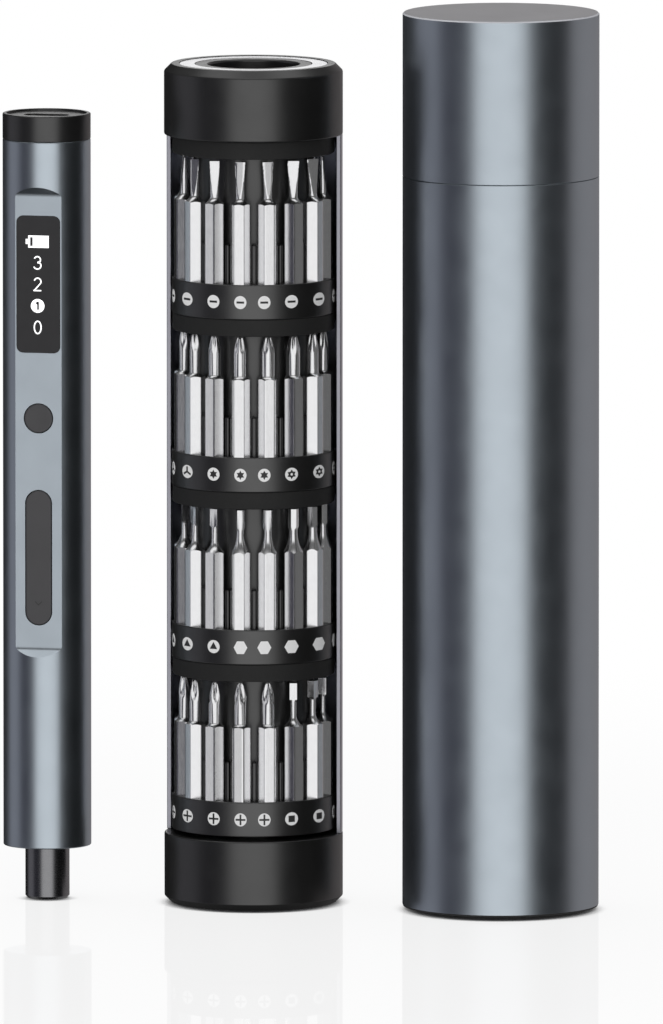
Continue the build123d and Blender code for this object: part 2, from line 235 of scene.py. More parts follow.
def roundedBar(width, height, corner, steps=10):
    def outlineAt(inset):
        radius = max(corner - inset, 0.02 * mm)
        halfWidth = width / 2 - inset - radius
        halfHeight = height / 2 - inset - radius
        points = []
        for quarter, (sx, sy) in enumerate([(1, 1), (-1, 1), (-1, -1), (1, -1)]):
            for step in range(steps + 1):
                turn = (quarter + step / steps) * pi / 2
                points.append((sx * halfWidth + radius * cos(turn), sy * halfHeight + radius * sin(turn)))
        return points
    return outlineAt


def pill(width, height, steps=14):
    # a bar with round ends
    return roundedBar(width, height, min(width, height) / 2 - 10 * tiny, steps)


def softenEdges(piece, width, segments=2, angle=24):
    bevel = piece.modifiers.new("edges", "BEVEL")
    bevel.width = width
    bevel.segments = segments
    bevel.limit_method = "ANGLE"
    bevel.angle_limit = radians(angle)
    piece.modifiers.new("normals", "WEIGHTED_NORMAL").keep_sharp = True
    bake(piece)


def carve(piece, cutters, bevelWidth=0):
    for cutter in cutters:
        cut = piece.modifiers.new("cut", "BOOLEAN")
        cut.operation = "DIFFERENCE"
        cut.solver = "EXACT"
        cut.object = cutter
    bake(piece)
    bm = bmesh.new()
    bm.from_mesh(piece.data)
    bmesh.ops.dissolve_degenerate(bm, dist=tiny, edges=bm.edges)
    bm.to_mesh(piece.data)
    bm.free()
    for cutter in cutters:
        bpy.data.objects.remove(cutter)
    if bevelWidth:
        softenEdges(piece, bevelWidth)


# node helpers

def addNode(tree, kind, inputs=None, **settings):
    # inputs take values or the outputs of other nodes
    node = tree.nodes.new(kind)
    for name, value in settings.items():
        setattr(node, name, value)
    for name, value in (inputs or {}).items():
        if isinstance(value, bpy.types.NodeSocket):
            tree.links.new(value, node.inputs[name])
        else:
            node.inputs[name].default_value = value
    return node.outputs


def mathNode(tree, operation, *values):
    return addNode(tree, "ShaderNodeMath", dict(enumerate(values)), operation=operation)[0]


def mixColours(tree, share, first, second):
    return addNode(tree, "ShaderNodeMix", {0: share, 6: first, 7: second}, data_type="RGBA")[2]


def mixShaders(tree, share, first, second):
    return addNode(tree, "ShaderNodeMixShader", {"Fac": share, 1: first, 2: second})[0]


def smoothRange(tree, value, start, end):
    ends = {"Value": value, "From Min": start, "From Max": end}
    return addNode(tree, "ShaderNodeMapRange", ends, interpolation_type="SMOOTHSTEP")["Result"]


# material helpers

noiseSpan = (0.3, 0.7)  # most of a noise lies between these


def newSurface(name, colour, metallic, roughness, more=None):
    material = bpy.data.materials.new(name)
    material.use_nodes = True
    shader = material.node_tree.nodes["Principled BSDF"]
    settings = {"Base Color": (*colour, 1), "Metallic": metallic, "Roughness": roughness, **(more or {})}
    for key, value in settings.items():
        shader.inputs[key].default_value = value
    return material, shader


def showShader(material, shader):
    material.node_tree.links.new(shader, material.node_tree.nodes["Material Output"].inputs["Surface"])


def grain(material, size, detail=2, stretch=(1, 1, 1)):
    # noise whose features are about this size, in metres
    tree = material.node_tree
    coords = addNode(tree, "ShaderNodeTexCoord")["Object"]
    mapping = addNode(tree, "ShaderNodeMapping", {"Vector": coords, "Scale": stretch})[0]
    settings = {"Vector": mapping, "Scale": 1 / size, "Detail": detail}
    return addNode(tree, "ShaderNodeTexNoise", settings)["Fac"]


def rangeTo(material, value, span, socket):
    tree = material.node_tree
    ends = {"From Min": noiseSpan[0], "From Max": noiseSpan[1], "To Min": span[0], "To Max": span[1]}
    tree.links.new(addNode(tree, "ShaderNodeMapRange", {"Value": value, **ends})["Result"], socket)


def tintTo(material, value, colours, socket):
    first, second = [(*colour, 1) for colour in colours]
    material.node_tree.links.new(mixColours(material.node_tree, value, first, second), socket)


def bumpTo(material, value, depth, strength, shader):
    tree = material.node_tree
    bump = addNode(tree, "ShaderNodeBump", {"Strength": strength, "Distance": depth, "Height": value})
    tree.links.new(bump["Normal"], shader.inputs["Normal"])


# finishes

def anodisedMetal(name, colours, rough):
    # blasted and anodised: a very fine even grain, with slow clouds of roughness
    material, shader = newSurface(name, colours[0], 1, rough[0])
    rangeTo(material, grain(material, size=7 * mm, detail=3), rough, shader.inputs["Roughness"])
    tintTo(material, grain(material, size=0.09 * mm, detail=1), colours, shader.inputs["Base Color"])
    bumpTo(material, grain(material, size=0.07 * mm), depth=0.004 * mm, strength=0.5, shader=shader)
    return material


def mouldedPlastic(name, colours, rough, grainSize, grainDepth, shine=0.5):
    # spark-eroded mould texture
    material, shader = newSurface(name, colours[0], 0, rough[0], {"IOR": 1.6, "Specular IOR Level": shine})
    rangeTo(material, grain(material, size=5 * mm, detail=3), rough, shader.inputs["Roughness"])
    tintTo(material, grain(material, size=grainSize * 2), colours, shader.inputs["Base Color"])
    bumpTo(material, grain(material, size=grainSize), depth=grainDepth, strength=0.6, shader=shader)
    return material


def groundSteel(name, colours, rough, stretch, depth=0.002 * mm):
    # fine grinding marks, drawn out along the stretch
    material, shader = newSurface(name, colours[0], 1, rough[0])
    marks = grain(material, size=0.12 * mm, stretch=stretch)
    rangeTo(material, marks, rough, shader.inputs["Roughness"])
    tintTo(material, grain(material, size=1.5 * mm), colours, shader.inputs["Base Color"])
    bumpTo(material, marks, depth=depth, strength=0.4, shader=shader)
    return material


def screenGlass(name, colours, rough):
    material, shader = newSurface(name, colours[0], 0, rough[0], {"Specular IOR Level": 0.4})
    rangeTo(material, grain(material, size=3 * mm), rough, shader.inputs["Roughness"])
    tintTo(material, grain(material, size=0.4 * mm, detail=1), colours, shader.inputs["Base Color"])
    return material


def screenLight(name, colours, rough):
    # lit picture elements, a touch uneven
    material, shader = newSurface(name, (0.8, 0.8, 0.8), 0, rough[0], {"Emission Strength": 0.85})
    light = grain(material, size=0.15 * mm, detail=1)
    tintTo(material, light, colours, shader.inputs["Emission Color"])
    rangeTo(material, light, rough, shader.inputs["Roughness"])
    return material


def greys(*levels):
    return [(level, level, level) for level in levels]


# each has two colours that its grain runs between, and the range of its roughness
gunmetal = anodisedMetal("anodisedGunmetal", [(0.51, 0.575, 0.63), (0.55, 0.61, 0.665)], (0.31, 0.36))
# painted shade: a darker, rougher copy of the anodised finish, for the flat top of the lid
lidTopShadedMetal = anodisedMetal("anodisedLidTop", [(0.30, 0.29, 0.31), (0.33, 0.32, 0.34)], (0.42, 0.44))
shellMetal = anodisedMetal("anodisedShell", [(0.60, 0.61, 0.66), (0.65, 0.66, 0.71)], (0.30, 0.35))
# painted shade: a darker copy of the shell's anodised finish, for its cut faces that look to the front
shellCutShaded = anodisedMetal("anodisedShellCut", [(0.42, 0.42, 0.47), (0.46, 0.46, 0.51)], (0.30, 0.35))
bushSilver = anodisedMetal("bushSilver", [(0.84, 0.84, 0.86), (0.94, 0.94, 0.96)], (0.21, 0.27))
bitSteel = groundSteel("bitSteel", [(0.80, 0.80, 0.81), (0.86, 0.86, 0.87)], (0.17, 0.24), (1, 1, 0.05))
blackSteel = groundSteel(
    "blackenedSteel", [(0.25, 0.25, 0.26), (0.28, 0.28, 0.29)], (0.26, 0.29), (0.1, 0.1, 1), 0.0002 * mm)
platedSteel = groundSteel("platedSteel", greys(0.62, 0.70), (0.25, 0.35), (1, 1, 0.2))
motorSteel = groundSteel("motorSteel", [(0.48, 0.48, 0.48), (0.56, 0.56, 0.55)], (0.3, 0.4), (1, 1, 0.1))
lensBlack = screenGlass("screenGlass", [(0.008, 0.008, 0.009), (0.011, 0.010, 0.012)], (0.14, 0.2))
pixelWhite = screenLight("screenLight", [(0.92, 0.93, 0.95), (1, 1, 1)], (0.35, 0.45))

# plastics: also the size and the depth of the grain
satinBlack = mouldedPlastic(
    "satinBlackPlastic", greys(0.005, 0.008), (0.30, 0.36), 0.12 * mm, 0.004 * mm, shine=0.85)
tierBlack = mouldedPlastic(
    "tierBlackPlastic", greys(0.006, 0.010), (0.31, 0.38), 0.12 * mm, 0.004 * mm, shine=1)
plateBlack = mouldedPlastic(
    "plateBlackPlastic", greys(0.011, 0.016), (0.6, 0.7), 0.20 * mm, 0.010 * mm, shine=0.25)
controlGrey = mouldedPlastic(
    "controlGreyPlastic", [(0.042, 0.041, 0.044), (0.049, 0.048, 0.051)], (0.48, 0.56), 0.15 * mm, 0.006 * mm)
# painted highlight: a pale matt grey for the lid's rounded top rim, standing in for the line of light along
# it
cutEdge = mouldedPlastic(
    "cutEdge", [(0.43, 0.44, 0.47), (0.48, 0.49, 0.52)], (0.40, 0.46), 0.08 * mm, 0.001 * mm)
labelInk = mouldedPlastic("paleLabelInk", greys(0.70, 0.78), (0.5, 0.6), 0.10 * mm, 0.003 * mm)
markInk = mouldedPlastic("darkLabelInk", greys(0.014, 0.022), (0.5, 0.6), 0.10 * mm, 0.003 * mm)
boardGreen = mouldedPlastic(
    "boardLacquer", [(0.010, 0.075, 0.035), (0.016, 0.10, 0.05)], (0.3, 0.4), 0.3 * mm, 0.01 * mm)
cellBlue = mouldedPlastic(
    "cellWrap", [(0.03, 0.10, 0.28), (0.04, 0.12, 0.33)], (0.3, 0.38), 0.5 * mm, 0.01 * mm)
frameGrey = mouldedPlastic(
    "chassisPlastic", [(0.09, 0.09, 0.095), (0.11, 0.11, 0.115)], (0.5, 0.6), 0.2 * mm, 0.01 * mm)
# rubber of the case foot, also painted on the case's bottom band as shade
footAndShadowBlack = mouldedPlastic("footRubber", greys(0.016, 0.024), (0.7, 0.82), 0.25 * mm, 0.02 * mm)
print("finishes ready:", len(bpy.data.materials))


# driver barrel: bored bar with a milled flat, pockets for lens, button and rocker

barrelLook = {
    "bore": 7.0 * mm,
    "noseWall": 3.8 * mm,
    "noseHole": 4.93 * mm,
    "flatFrom": 54.95 * mm,
    "flatTo": 153.3 * mm,
    "flatDepth": 1.5 * mm,
    "rampRun": 1.75 * mm,
    "rampHollow": 1.6 * mm,  # radius where the flat turns into its ramps
    "edge": 0.3 * mm,
    "milledEdge": 0.09 * mm,
    "gap": 0.15 * mm,
    "cutterRise": 3 * mm,  # cutters stand this far out of the flat
}
controlLook = {
    "buttonRadius": 3.12 * mm,
    "buttonHeight": 104.92 * mm,
    "buttonDish": 0.12 * mm,
    "dishShape": [(0.8, 0), (0.4, 0.8), (0, 1)],  # shares of the radius and of the dish
    "rockerWidth": 5.68 * mm,
    "rockerLength": 29.14 * mm,
    "rockerHeight": 74.7 * mm,
    "proud": 0.2 * mm,
    "depth": 2.5 * mm,
    "rounding": 0.3 * mm,
    "markDrop": 10.0 * mm,  # from the middle of the rocker down to its mark
    "markSize": 1.5 * mm,
    "markStroke": 0.28 * mm,
    "markLift": 0.01 * mm,
    "markSink": 0.05 * mm,
}
lensLook = {
    "extraWidth": 0.3 * mm,
    "extraLength": 0.19 * mm,
    "raise": 0.15 * mm,
    "corner": 1.5 * mm,
    "edge": 0.05 * mm,
    "gap": 0.03 * mm,
}
lensLow, lensHigh = nodeBox("display_lens")
lensSize = lensHigh - lensLow + Vector((lensLook["extraWidth"], 0, lensLook["extraLength"]))
driverAxis = axisOf("barrel")
flatFront = lensLow.y
lensMiddle = (lensLow.z + lensHigh.z) / 2 + lensLook["raise"]


def onFlat(height):
    # local X runs across the flat, Y up it and Z out of it
    axes = Matrix(((1, 0, 0), (0, 0, -1), (0, 1, 0))).to_4x4()
    return Matrix.Translation((driverAxis.x, flatFront, height)) @ axes


def flatCutter(look, steps=8):
    # a block that stands well clear of the bar
    reach = 3 * look["flatDepth"]
    run = reach * look["rampRun"] / look["flatDepth"]
    side = 2 * look["bore"]
    slope = atan2(look["flatDepth"], look["rampRun"])
    hollow = look["rampHollow"]
    foot = hollow * tan(slope / 2)
    turns = [slope * step / steps for step in range(steps + 1)]
    bend = [(flatFront - hollow * (1 - cos(t)), hollow * sin(t) - foot) for t in turns]
    bend.append((flatFront - reach, run))
    section = [(y, look["flatTo"] + z) for y, z in bend]
    section += [(y, look["flatFrom"] - z) for y, z in reversed(bend)]
    bm = bmesh.new()
    ends = [[bm.verts.new((driverAxis.x + x, y, z)) for y, z in section] for x in (-side, side)]
    capLoops(bm, ends)
    return pieceFrom("flatCutter", bm)


def buildBarrel():
    look = barrelLook
    low, high = nodeBox("barrel")
    radius = radiusOf("barrel")
    noseTop = low.z + look["noseWall"]
    barrel = lathe("driverBarrel", [
        (radius, low.z, look["edge"]),
        (radius, high.z, look["edge"]),
        (look["bore"], high.z, 0),
        (look["bore"], noseTop, 0),
        (look["noseHole"], noseTop, 0),
        (look["noseHole"], low.z, look["edge"]),
    ], driverAxis, segments=192)
    clearance = 2 * lensLook["gap"]
    control = controlLook
    buttonSize = 2 * (control["buttonRadius"] + look["gap"])
    rockerWide = control["rockerWidth"] + 2 * look["gap"]
    rockerLong = control["rockerLength"] + 2 * look["gap"]
    lensHole = roundedBar(lensSize.x + clearance, lensSize.z + clearance, lensLook["corner"])
    holes = {
        "lensCutter": (lensHole, lensSize.y, lensMiddle),
        "buttonCutter": (pill(buttonSize, buttonSize), control["depth"], control["buttonHeight"]),
        "rockerCutter": (pill(rockerWide, rockerLong), control["depth"], control["rockerHeight"]),
    }
    cutters = []
    for name, (shape, depth, height) in holes.items():
        cutters.append(slab(name, shape, [(0, -depth), (0, look["cutterRise"])], onFlat(height)))
    carve(barrel, [flatCutter(look)])
    carve(barrel, cutters, look["milledEdge"])
    dress(barrel, "driver", gunmetal, ["barrel"])


buildBarrel()
print("barrel milled")


# tail cap: dished head over its plug, with the slot of the charging port

capLook = {
    "rim": 0.9 * mm,
    "dish": 0.5 * mm,
    "crown": 0.35 * mm,
    "plug": 6.9 * mm,
    "slotLong": 9.94 * mm,
    "slotWide": 4.2 * mm,
    "slotEdge": 0.3 * mm,
    "joint": 0.18 * mm,
    "edge": 0.3 * mm,
}


def buildCap():
    look = capLook
    low, high = nodeBox("tail_cap")
    radius = radiusOf("tail_cap")
    head = nodeBox("barrel")[1].z
    top = high.z + look["crown"]
    floorLevel = top - look["dish"]
    cap = lathe("tailCap", [
        (0, low.z, 0),
        (look["plug"], low.z, look["edge"]),
        (look["plug"], head, 0),
        (radius, head, look["joint"]),
        (radius, top, look["edge"]),
        (radius - look["rim"], top, look["edge"] / 2),
        (radius - look["rim"], floorLevel, look["edge"] / 2),
        (0, floorLevel, 0),
    ], driverAxis)
    slotShape = pill(look["slotLong"], look["slotWide"])
    upright = Matrix.Translation(driverAxis)
    slot = slab("slotCutter", slotShape, [(0, low.z - mm), (0, high.z + mm)], upright)
    carve(cap, [slot], look["slotEdge"])
    dress(cap, "driver", satinBlack, ["tail_cap"])


buildCap()


# display lens and the lit picture under it

screenLook = {
    "digitHeight": 2.98 * mm,
    "stroke": 0.28 * mm,
    "rowPitch": 4.66 * mm,
    "rows": ["3", "2", "1", "0"],
    "chosen": "1",
    "discRadius": 1.5 * mm,
    "chosenHeight": 2.1 * mm,
    "chosenStroke": 0.4 * mm,
    "batteryWidth": 4.55 * mm,
    "batteryHeight": 2.65 * mm,
    "batteryDrop": 0.08 * mm,
    "nubWidth": 0.55 * mm,
    "nubHeight": 1.1 * mm,
    "barWidth": 0.55 * mm,
    "barHeight": 1.9 * mm,
    "barInset": 1.3,  # from the end of the battery to the bar, in widths of the bar
    "shift": -0.15 * mm,  # the picture sits a little left of the middle
    "lift": 0.012 * mm,
    "sink": 0.03 * mm,
}


def buildLens():
    lens = slab(
        "displayLens", roundedBar(lensSize.x, lensSize.z, lensLook["corner"]),
        roundedTop(-lensSize.y, 0, lensLook["edge"]), onFlat(lensMiddle))
    dress(lens, "driver", lensBlack, ["display_lens"])


def addStroke(bm, points, width, low, high, place, closed=False):
    # a flat ribbon along the points
    count = len(points)
    loops = []
    for number, point in enumerate(points):
        before = points[number - 1] if number or closed else point
        after = points[(number + 1) % count] if number + 1 < count or closed else point
        way = Vector((after[0] - before[0], after[1] - before[1])).normalized() * width / 2
        left = Vector((point[0] - way.y, point[1] + way.x))
        right = Vector((point[0] + way.y, point[1] - way.x))
        section = ((left, low), (right, low), (right, high), (left, high))
        loops.append([bm.verts.new(place @ Vector((spot.x, spot.y, level))) for spot, level in section])
    if closed:
        joinLoops(bm, loops, closed)
    else:
        capLoops(bm, loops)


def arc(x, y, radiusX, radiusY, start, end, steps=20):
    turns = [radians(start + (end - start) * step / steps) for step in range(steps + 1)]
    return [(x + radiusX * cos(turn), y + radiusY * sin(turn)) for turn in turns]


# strokes of the numerals, two units tall
numerals = {
    "0": [arc(0, 0, 0.56, 1, 0, 342, 19)],
    "1": [[(-0.40, 0.52), (0.10, 0.98)], [(0.10, 1.0), (0.10, -1.0)]],
    "2": [arc(0, 0.44, 0.55, 0.56, 165, -25) + [(-0.55, -0.98)], [(-0.68, -1.0), (0.60, -1.0)]],
    "3": [arc(-0.03, 0.50, 0.50, 0.50, 160, -88), arc(-0.05, -0.44, 0.60, 0.56, 88, -160)],
}


def addNumeral(bm, digit, height, stroke, low, high, place):
    half = (height - stroke) / 2
    for path in numerals[digit]:
        points = [(half * x, half * y) for x, y in path]
        addStroke(bm, points, stroke, low, high, place, closed=digit == "0")


def buildScreen():
    look = screenLook
    place = onFlat(lensMiddle)
    low, high = -look["sink"], look["lift"]
    white = bmesh.new()
    dark = bmesh.new()
    level = 2 * look["rowPitch"] - look["batteryDrop"]
    bodyX = look["shift"] + look["nubWidth"] / 2 - look["batteryDrop"]
    nubX = bodyX - (look["batteryWidth"] + look["nubWidth"]) / 2
    barX = bodyX - look["batteryWidth"] / 2 + look["barInset"] * look["barWidth"]
    body = rectangle(bodyX, level, look["batteryWidth"], look["batteryHeight"])
    addPrism(white, body, low, high, place)
    addPrism(white, rectangle(nubX, level, look["nubWidth"], look["nubHeight"]), low, high, place)
    addPrism(dark, rectangle(barX, level, look["barWidth"], look["barHeight"]), low, 2 * high, place)
    for row, digit in enumerate(look["rows"]):
        spot = place @ Matrix.Translation((look["shift"], (1 - row) * look["rowPitch"], 0))
        if digit == look["chosen"]:
            addPrism(white, circlePoints(look["discRadius"], count=40), low, high, spot)
            addNumeral(dark, digit, look["chosenHeight"], look["chosenStroke"], low, 2 * high, spot)
        else:
            addNumeral(white, digit, look["digitHeight"], look["stroke"], low, high, spot)
    dress(pieceFrom("screenPicture", white), "driver", pixelWhite)
    dress(pieceFrom("screenShade", dark), "driver", lensBlack)


buildLens()
buildScreen()
print("display lit")


# power button and rocker, standing a little proud of the flat

def buildButton():
    look = controlLook
    radius = look["buttonRadius"]
    proud = look["proud"]
    button = lathe("powerButton", [
        (0, -look["depth"], 0),
        (radius, -look["depth"], 0),
        (radius, proud, look["rounding"]),
        *[(share * radius, proud - depth * look["buttonDish"], 0) for share, depth in look["dishShape"]],
    ], Vector((0, 0, 0)), segments=72)
    button.data.transform(onFlat(look["buttonHeight"]))
    dress(button, "button", controlGrey, ["power_button"])


def buildRocker():
    look = controlLook
    width = look["rockerWidth"]
    place = onFlat(look["rockerHeight"])
    rocker = slab(
        "speedRocker", pill(width, look["rockerLength"], steps=16),
        roundedTop(-look["depth"], look["proud"], look["rounding"]), place)
    dress(rocker, "speed_rocker", controlGrey, ["rocker"])
    half = look["markSize"] / 2
    stroke = look["markStroke"]
    corners = [(-half, half / 2), (0, -half / 2), (half, half / 2),
               (half, half / 2 + stroke), (0, -half / 2 + stroke), (-half, half / 2 + stroke)]
    spot = place @ Matrix.Translation((0, -look["markDrop"], 0))
    bm = bmesh.new()
    addPrism(bm, corners, look["proud"] - look["markSink"], look["proud"] + look["markLift"], spot)
    dress(pieceFrom("rockerMark", bm), "speed_rocker", markInk)


buildButton()
buildRocker()


# chuck: turned nose with a hex socket

chuckLook = {
    "journal": 3.0 * mm,
    "shoulder": 14.9 * mm,
    "socketDepth": 11.5 * mm,
    "socketWide": 4.1 * mm,
    "leadIn": 0.25 * mm,
    "chamfer": 0.5 * mm,
    "edge": 0.1 * mm,
    "slack": 0.01 * mm,
}


def buildChuck():
    look = chuckLook
    low, high = nodeBox("chuck")
    radius = radiusOf("chuck")
    socket = look["socketWide"] / 2
    mouth = socket + look["leadIn"]
    bottom = low.z + look["socketDepth"]

    def socketSides(ringRadius, height):
        inside = ringRadius < mouth + look["slack"] and height < bottom + look["slack"]
        return 6 if inside else 0

    chuck = lathe("driverChuck", [
        (0, bottom, 0),
        (socket, bottom, 0),
        (socket, low.z + look["leadIn"], 0),
        (mouth, low.z, 0),
        (radius - look["chamfer"], low.z, look["edge"]),
        (radius, low.z + look["chamfer"], look["edge"]),
        (radius, look["shoulder"], look["edge"]),
        (look["journal"], look["shoulder"], 0),
        (look["journal"], high.z, look["edge"]),
        (0, high.z, 0),
    ], driverAxis, sidesAt=socketSides)
    dress(chuck, "spindle", blackSteel, ["chuck"])


buildChuck()
print("driver dressed")


# tower ends: base, collar and the pale bush in it

towerLook = {
    "baseChamfer": 1.4 * mm,
    "underside": -0.3,  # faces that look down more than this are dull
    "collarChamfer": 1.6 * mm,
    "collarDrop": 0.3 * mm,  # the collar hangs a little over the shell
    "collarRise": 0.2 * mm,
    "soft": 0.35 * mm,
    "lip": 0.25 * mm,
    "pivot": 10.6 * mm,
    "bushSink": 0.12 * mm,
    "bushGap": 0.05 * mm,
    "shellInset": 0.05 * mm,
    "shellWall": 0.95 * mm,
    "shellEdge": 0.15 * mm,
    "shellSteps": 96,
}
towerAxis = Vector((0, 0, 0))


def buildBase():
    look = towerLook
    low, high = nodeBox("tower_base")
    radius = radiusOf("tower_base")
    top = nodeBox("back_shell")[0].z
    chamfer = look["baseChamfer"]
    base = lathe("towerBase", [
        (0, low.z, 0),
        (radius - chamfer, low.z, look["soft"]),
        (radius, low.z + chamfer, look["soft"]),
        (radius, top, look["soft"]),
        (look["pivot"], top, 0),
        (look["pivot"], high.z, look["lip"]),
        (0, high.z, 0),
    ], towerAxis)
    dress(base, "tower", satinBlack, ["tower_base"])
    paintFaces(base, plateBlack, lambda face: face.normal.z < look["underside"])


def buildCollar():
    look = towerLook
    low, high = nodeBox("top_collar")
    low.z -= look["collarDrop"]
    high.z += look["collarRise"]
    radius = radiusOf("top_collar")
    hole = radiusOf("collar_bush")
    chamfer = look["collarChamfer"]
    collar = lathe("topCollar", [
        (hole, low.z, 0),
        (radius, low.z, look["soft"]),
        (radius, high.z - chamfer, 2 * look["soft"]),
        (radius - chamfer, high.z, look["soft"]),
        (hole, high.z, look["lip"] / 2),
    ], towerAxis)
    dress(collar, "tower", satinBlack, ["top_collar"])
    bore = radiusOf("core_tube") + look["bushGap"]
    bushTop = high.z - look["bushSink"]
    bush = lathe("collarBush", [
        (bore, low.z, 0),
        (hole, low.z, 0),
        (hole, bushTop, look["lip"] / 2),
        (bore, bushTop, look["lip"] / 2),
    ], towerAxis)
    dress(bush, "tower", bushSilver, ["collar_bush"])


def buildShell():
    # half a tube, open to the front
    look = towerLook
    low, high = nodeBox("back_shell")
    outer = radiusOf("back_shell") - look["shellInset"]
    inner = outer - look["shellWall"]
    steps = look["shellSteps"]
    turns = [pi * step / steps for step in range(steps + 1)]
    section = [(outer * cos(t), max(outer * sin(t), 0)) for t in turns]
    section += [(inner * cos(t), max(inner * sin(t), 0)) for t in reversed(turns)]
    bm = bmesh.new()
    addPrism(bm, section, low.z, high.z, Matrix.Identity(4))
    shell = pieceFrom("backShell", bm)
    softenEdges(shell, look["shellEdge"], segments=3, angle=40)
    dress(shell, "tower", shellMetal, ["back_shell"])
    # painted shade: the cut faces that look to the front get the darker copy of the finish
    paintFaces(shell, shellCutShaded, lambda face: face.normal.y < -squareOn)


buildBase()
buildCollar()
buildShell()
print("tower dressed")


# node trees that repeat pieces round the rings

def newTree(name, inputs):
    tree = bpy.data.node_groups.new(name, "GeometryNodeTree")
    tree.interface.new_socket("Geometry", in_out="INPUT", socket_type="NodeSocketGeometry")
    keys = {}
    for label, kind in inputs:
        socket = tree.interface.new_socket(label, in_out="INPUT", socket_type="NodeSocket" + kind)
        keys[label] = socket.identifier
    tree.interface.new_socket("Geometry", in_out="OUTPUT", socket_type="NodeSocketGeometry")
    return tree, keys


ringInputs = [("Count", "Int"), ("Tiers", "Int"), ("First angle", "Float"), ("Step", "Float"),
              ("Radius", "Float"), ("Level", "Float"), ("Tier pitch", "Float"), ("Finish", "Material")]


def ringPoints(tree, ins, extraTurn=0):
    # points round each ring, with the turn that faces each one outwards
    def calc(operation, *values):
        return mathNode(tree, operation, *values)

    index = addNode(tree, "GeometryNodeInputIndex")[0]
    tier = calc("FLOOR", calc("DIVIDE", index, ins["Count"]))
    spot = calc("SUBTRACT", index, calc("MULTIPLY", tier, ins["Count"]))
    angle = calc("ADD", ins["First angle"], calc("MULTIPLY", spot, ins["Step"]))
    position = addNode(tree, "ShaderNodeCombineXYZ", {
        "X": calc("MULTIPLY", ins["Radius"], calc("COSINE", angle)),
        "Y": calc("MULTIPLY", ins["Radius"], calc("SINE", angle)),
        "Z": calc("ADD", ins["Level"], calc("MULTIPLY", tier, ins["Tier pitch"])),
    })[0]
    total = calc("MULTIPLY", ins["Count"], ins["Tiers"])
    points = addNode(tree, "GeometryNodePoints", {"Count": total, "Position": position})[0]
    euler = addNode(tree, "ShaderNodeCombineXYZ", {"Z": calc("ADD", angle, extraTurn)})[0]
    turn = addNode(tree, "FunctionNodeEulerToRotation", {0: euler})[0]
    return points, turn, index


def realPieces(tree, inputs):
    array = addNode(tree, "GeometryNodeInstanceOnPoints", inputs)[0]
    return addNode(tree, "GeometryNodeRealizeInstances", {0: array})[0]


def finishTree(tree, geometry, ins):
    finish = addNode(tree, "GeometryNodeSetMaterial", {"Geometry": geometry, "Material": ins["Finish"]})[0]
    addNode(tree, "NodeGroupOutput", {0: finish})


def makeRingArray():
    # sets the pieces of a collection round the rings, one after another
    tree, keys = newTree("ringArray", [("Pieces", "Collection")] + ringInputs)
    ins = addNode(tree, "NodeGroupInput")
    points, turn, index = ringPoints(tree, ins)
    pieces = addNode(tree, "GeometryNodeCollectionInfo", {
        "Collection": ins["Pieces"], "Separate Children": True, "Reset Children": True})[0]
    array = realPieces(tree, {
        "Points": points, "Rotation": turn,
        "Instance": pieces, "Pick Instance": True, "Instance Index": index})
    finishTree(tree, array, ins)
    return tree, keys


def makeRingPockets():
    # cuts a hex pocket into the rings at each place
    tree, keys = newTree("ringPockets", [("Pocket radius", "Float"), ("Pocket depth", "Float")] + ringInputs)
    ins = addNode(tree, "NodeGroupInput")
    points, turn = ringPoints(tree, ins, extraTurn=pi / 6)[:2]
    prism = addNode(tree, "GeometryNodeMeshCylinder", {
        "Vertices": 6, "Radius": ins["Pocket radius"], "Depth": ins["Pocket depth"]})["Mesh"]
    array = realPieces(tree, {"Points": points, "Instance": prism, "Rotation": turn})
    cut = addNode(tree, "GeometryNodeMeshBoolean", {"Mesh 1": ins["Geometry"], "Mesh 2": array},
                  operation="DIFFERENCE", solver="EXACT")["Mesh"]
    finishTree(tree, cut, ins)
    return tree, keys


def grow(piece, treeAndKeys, settings, sharpAngle=None):
    tree, keys = treeAndKeys
    modifier = piece.modifiers.new(tree.name, "NODES")
    modifier.node_group = tree
    for label, value in settings.items():
        modifier[keys[label]] = value
    bake(piece, sharpAngle)


ringArray = makeRingArray()
ringPockets = makeRingPockets()


def arrayPiece(name, sources, settings):
    # sources go into an unlinked collection, in the order of their names
    shelf = bpy.data.collections.new(name + "Shelf")
    for number, mesh in enumerate(sources):
        shelf.objects.link(bpy.data.objects.new(f"{name}{number:03d}", mesh))
    piece = addObject(name, bpy.data.meshes.new(name))
    grow(piece, ringArray, {"Pieces": shelf, **settings})
    for source in list(shelf.objects):
        bpy.data.objects.remove(source)
    bpy.data.collections.remove(shelf)
    return piece


# core: the tube, its four rings of pockets and the plates over the tips

ringLook = {
    "perRing": 16,
    "tiers": 4,
    "pitch": 37.33 * mm,
    "height": 7.5 * mm,
    "plate": 3.7 * mm,
    "topPlate": 3.8 * mm,
    "plateInset": 0.15 * mm,
    "bitCircle": 15.2 * mm,
    "pocketWide": 4.1 * mm,
    "pocketDepth": 2.8 * mm,
    "bitSink": 2.5 * mm,
    "rise": 0.08 * mm,
    "edge": 0.25 * mm,
    "turn": 2.0,  # degrees that the core has been turned
}
ringLow = nodeBox("bit_rings")[0].z + ringLook["rise"]
ringRadius = radiusOf("bit_rings")
coreRadius = radiusOf("core_tube")
ringTop = ringLow + ringLook["height"]
bitLow = ringTop - ringLook["bitSink"]
frontAngle = -pi / 2 + radians(ringLook["turn"])
placeStep = 2 * pi / ringLook["perRing"]


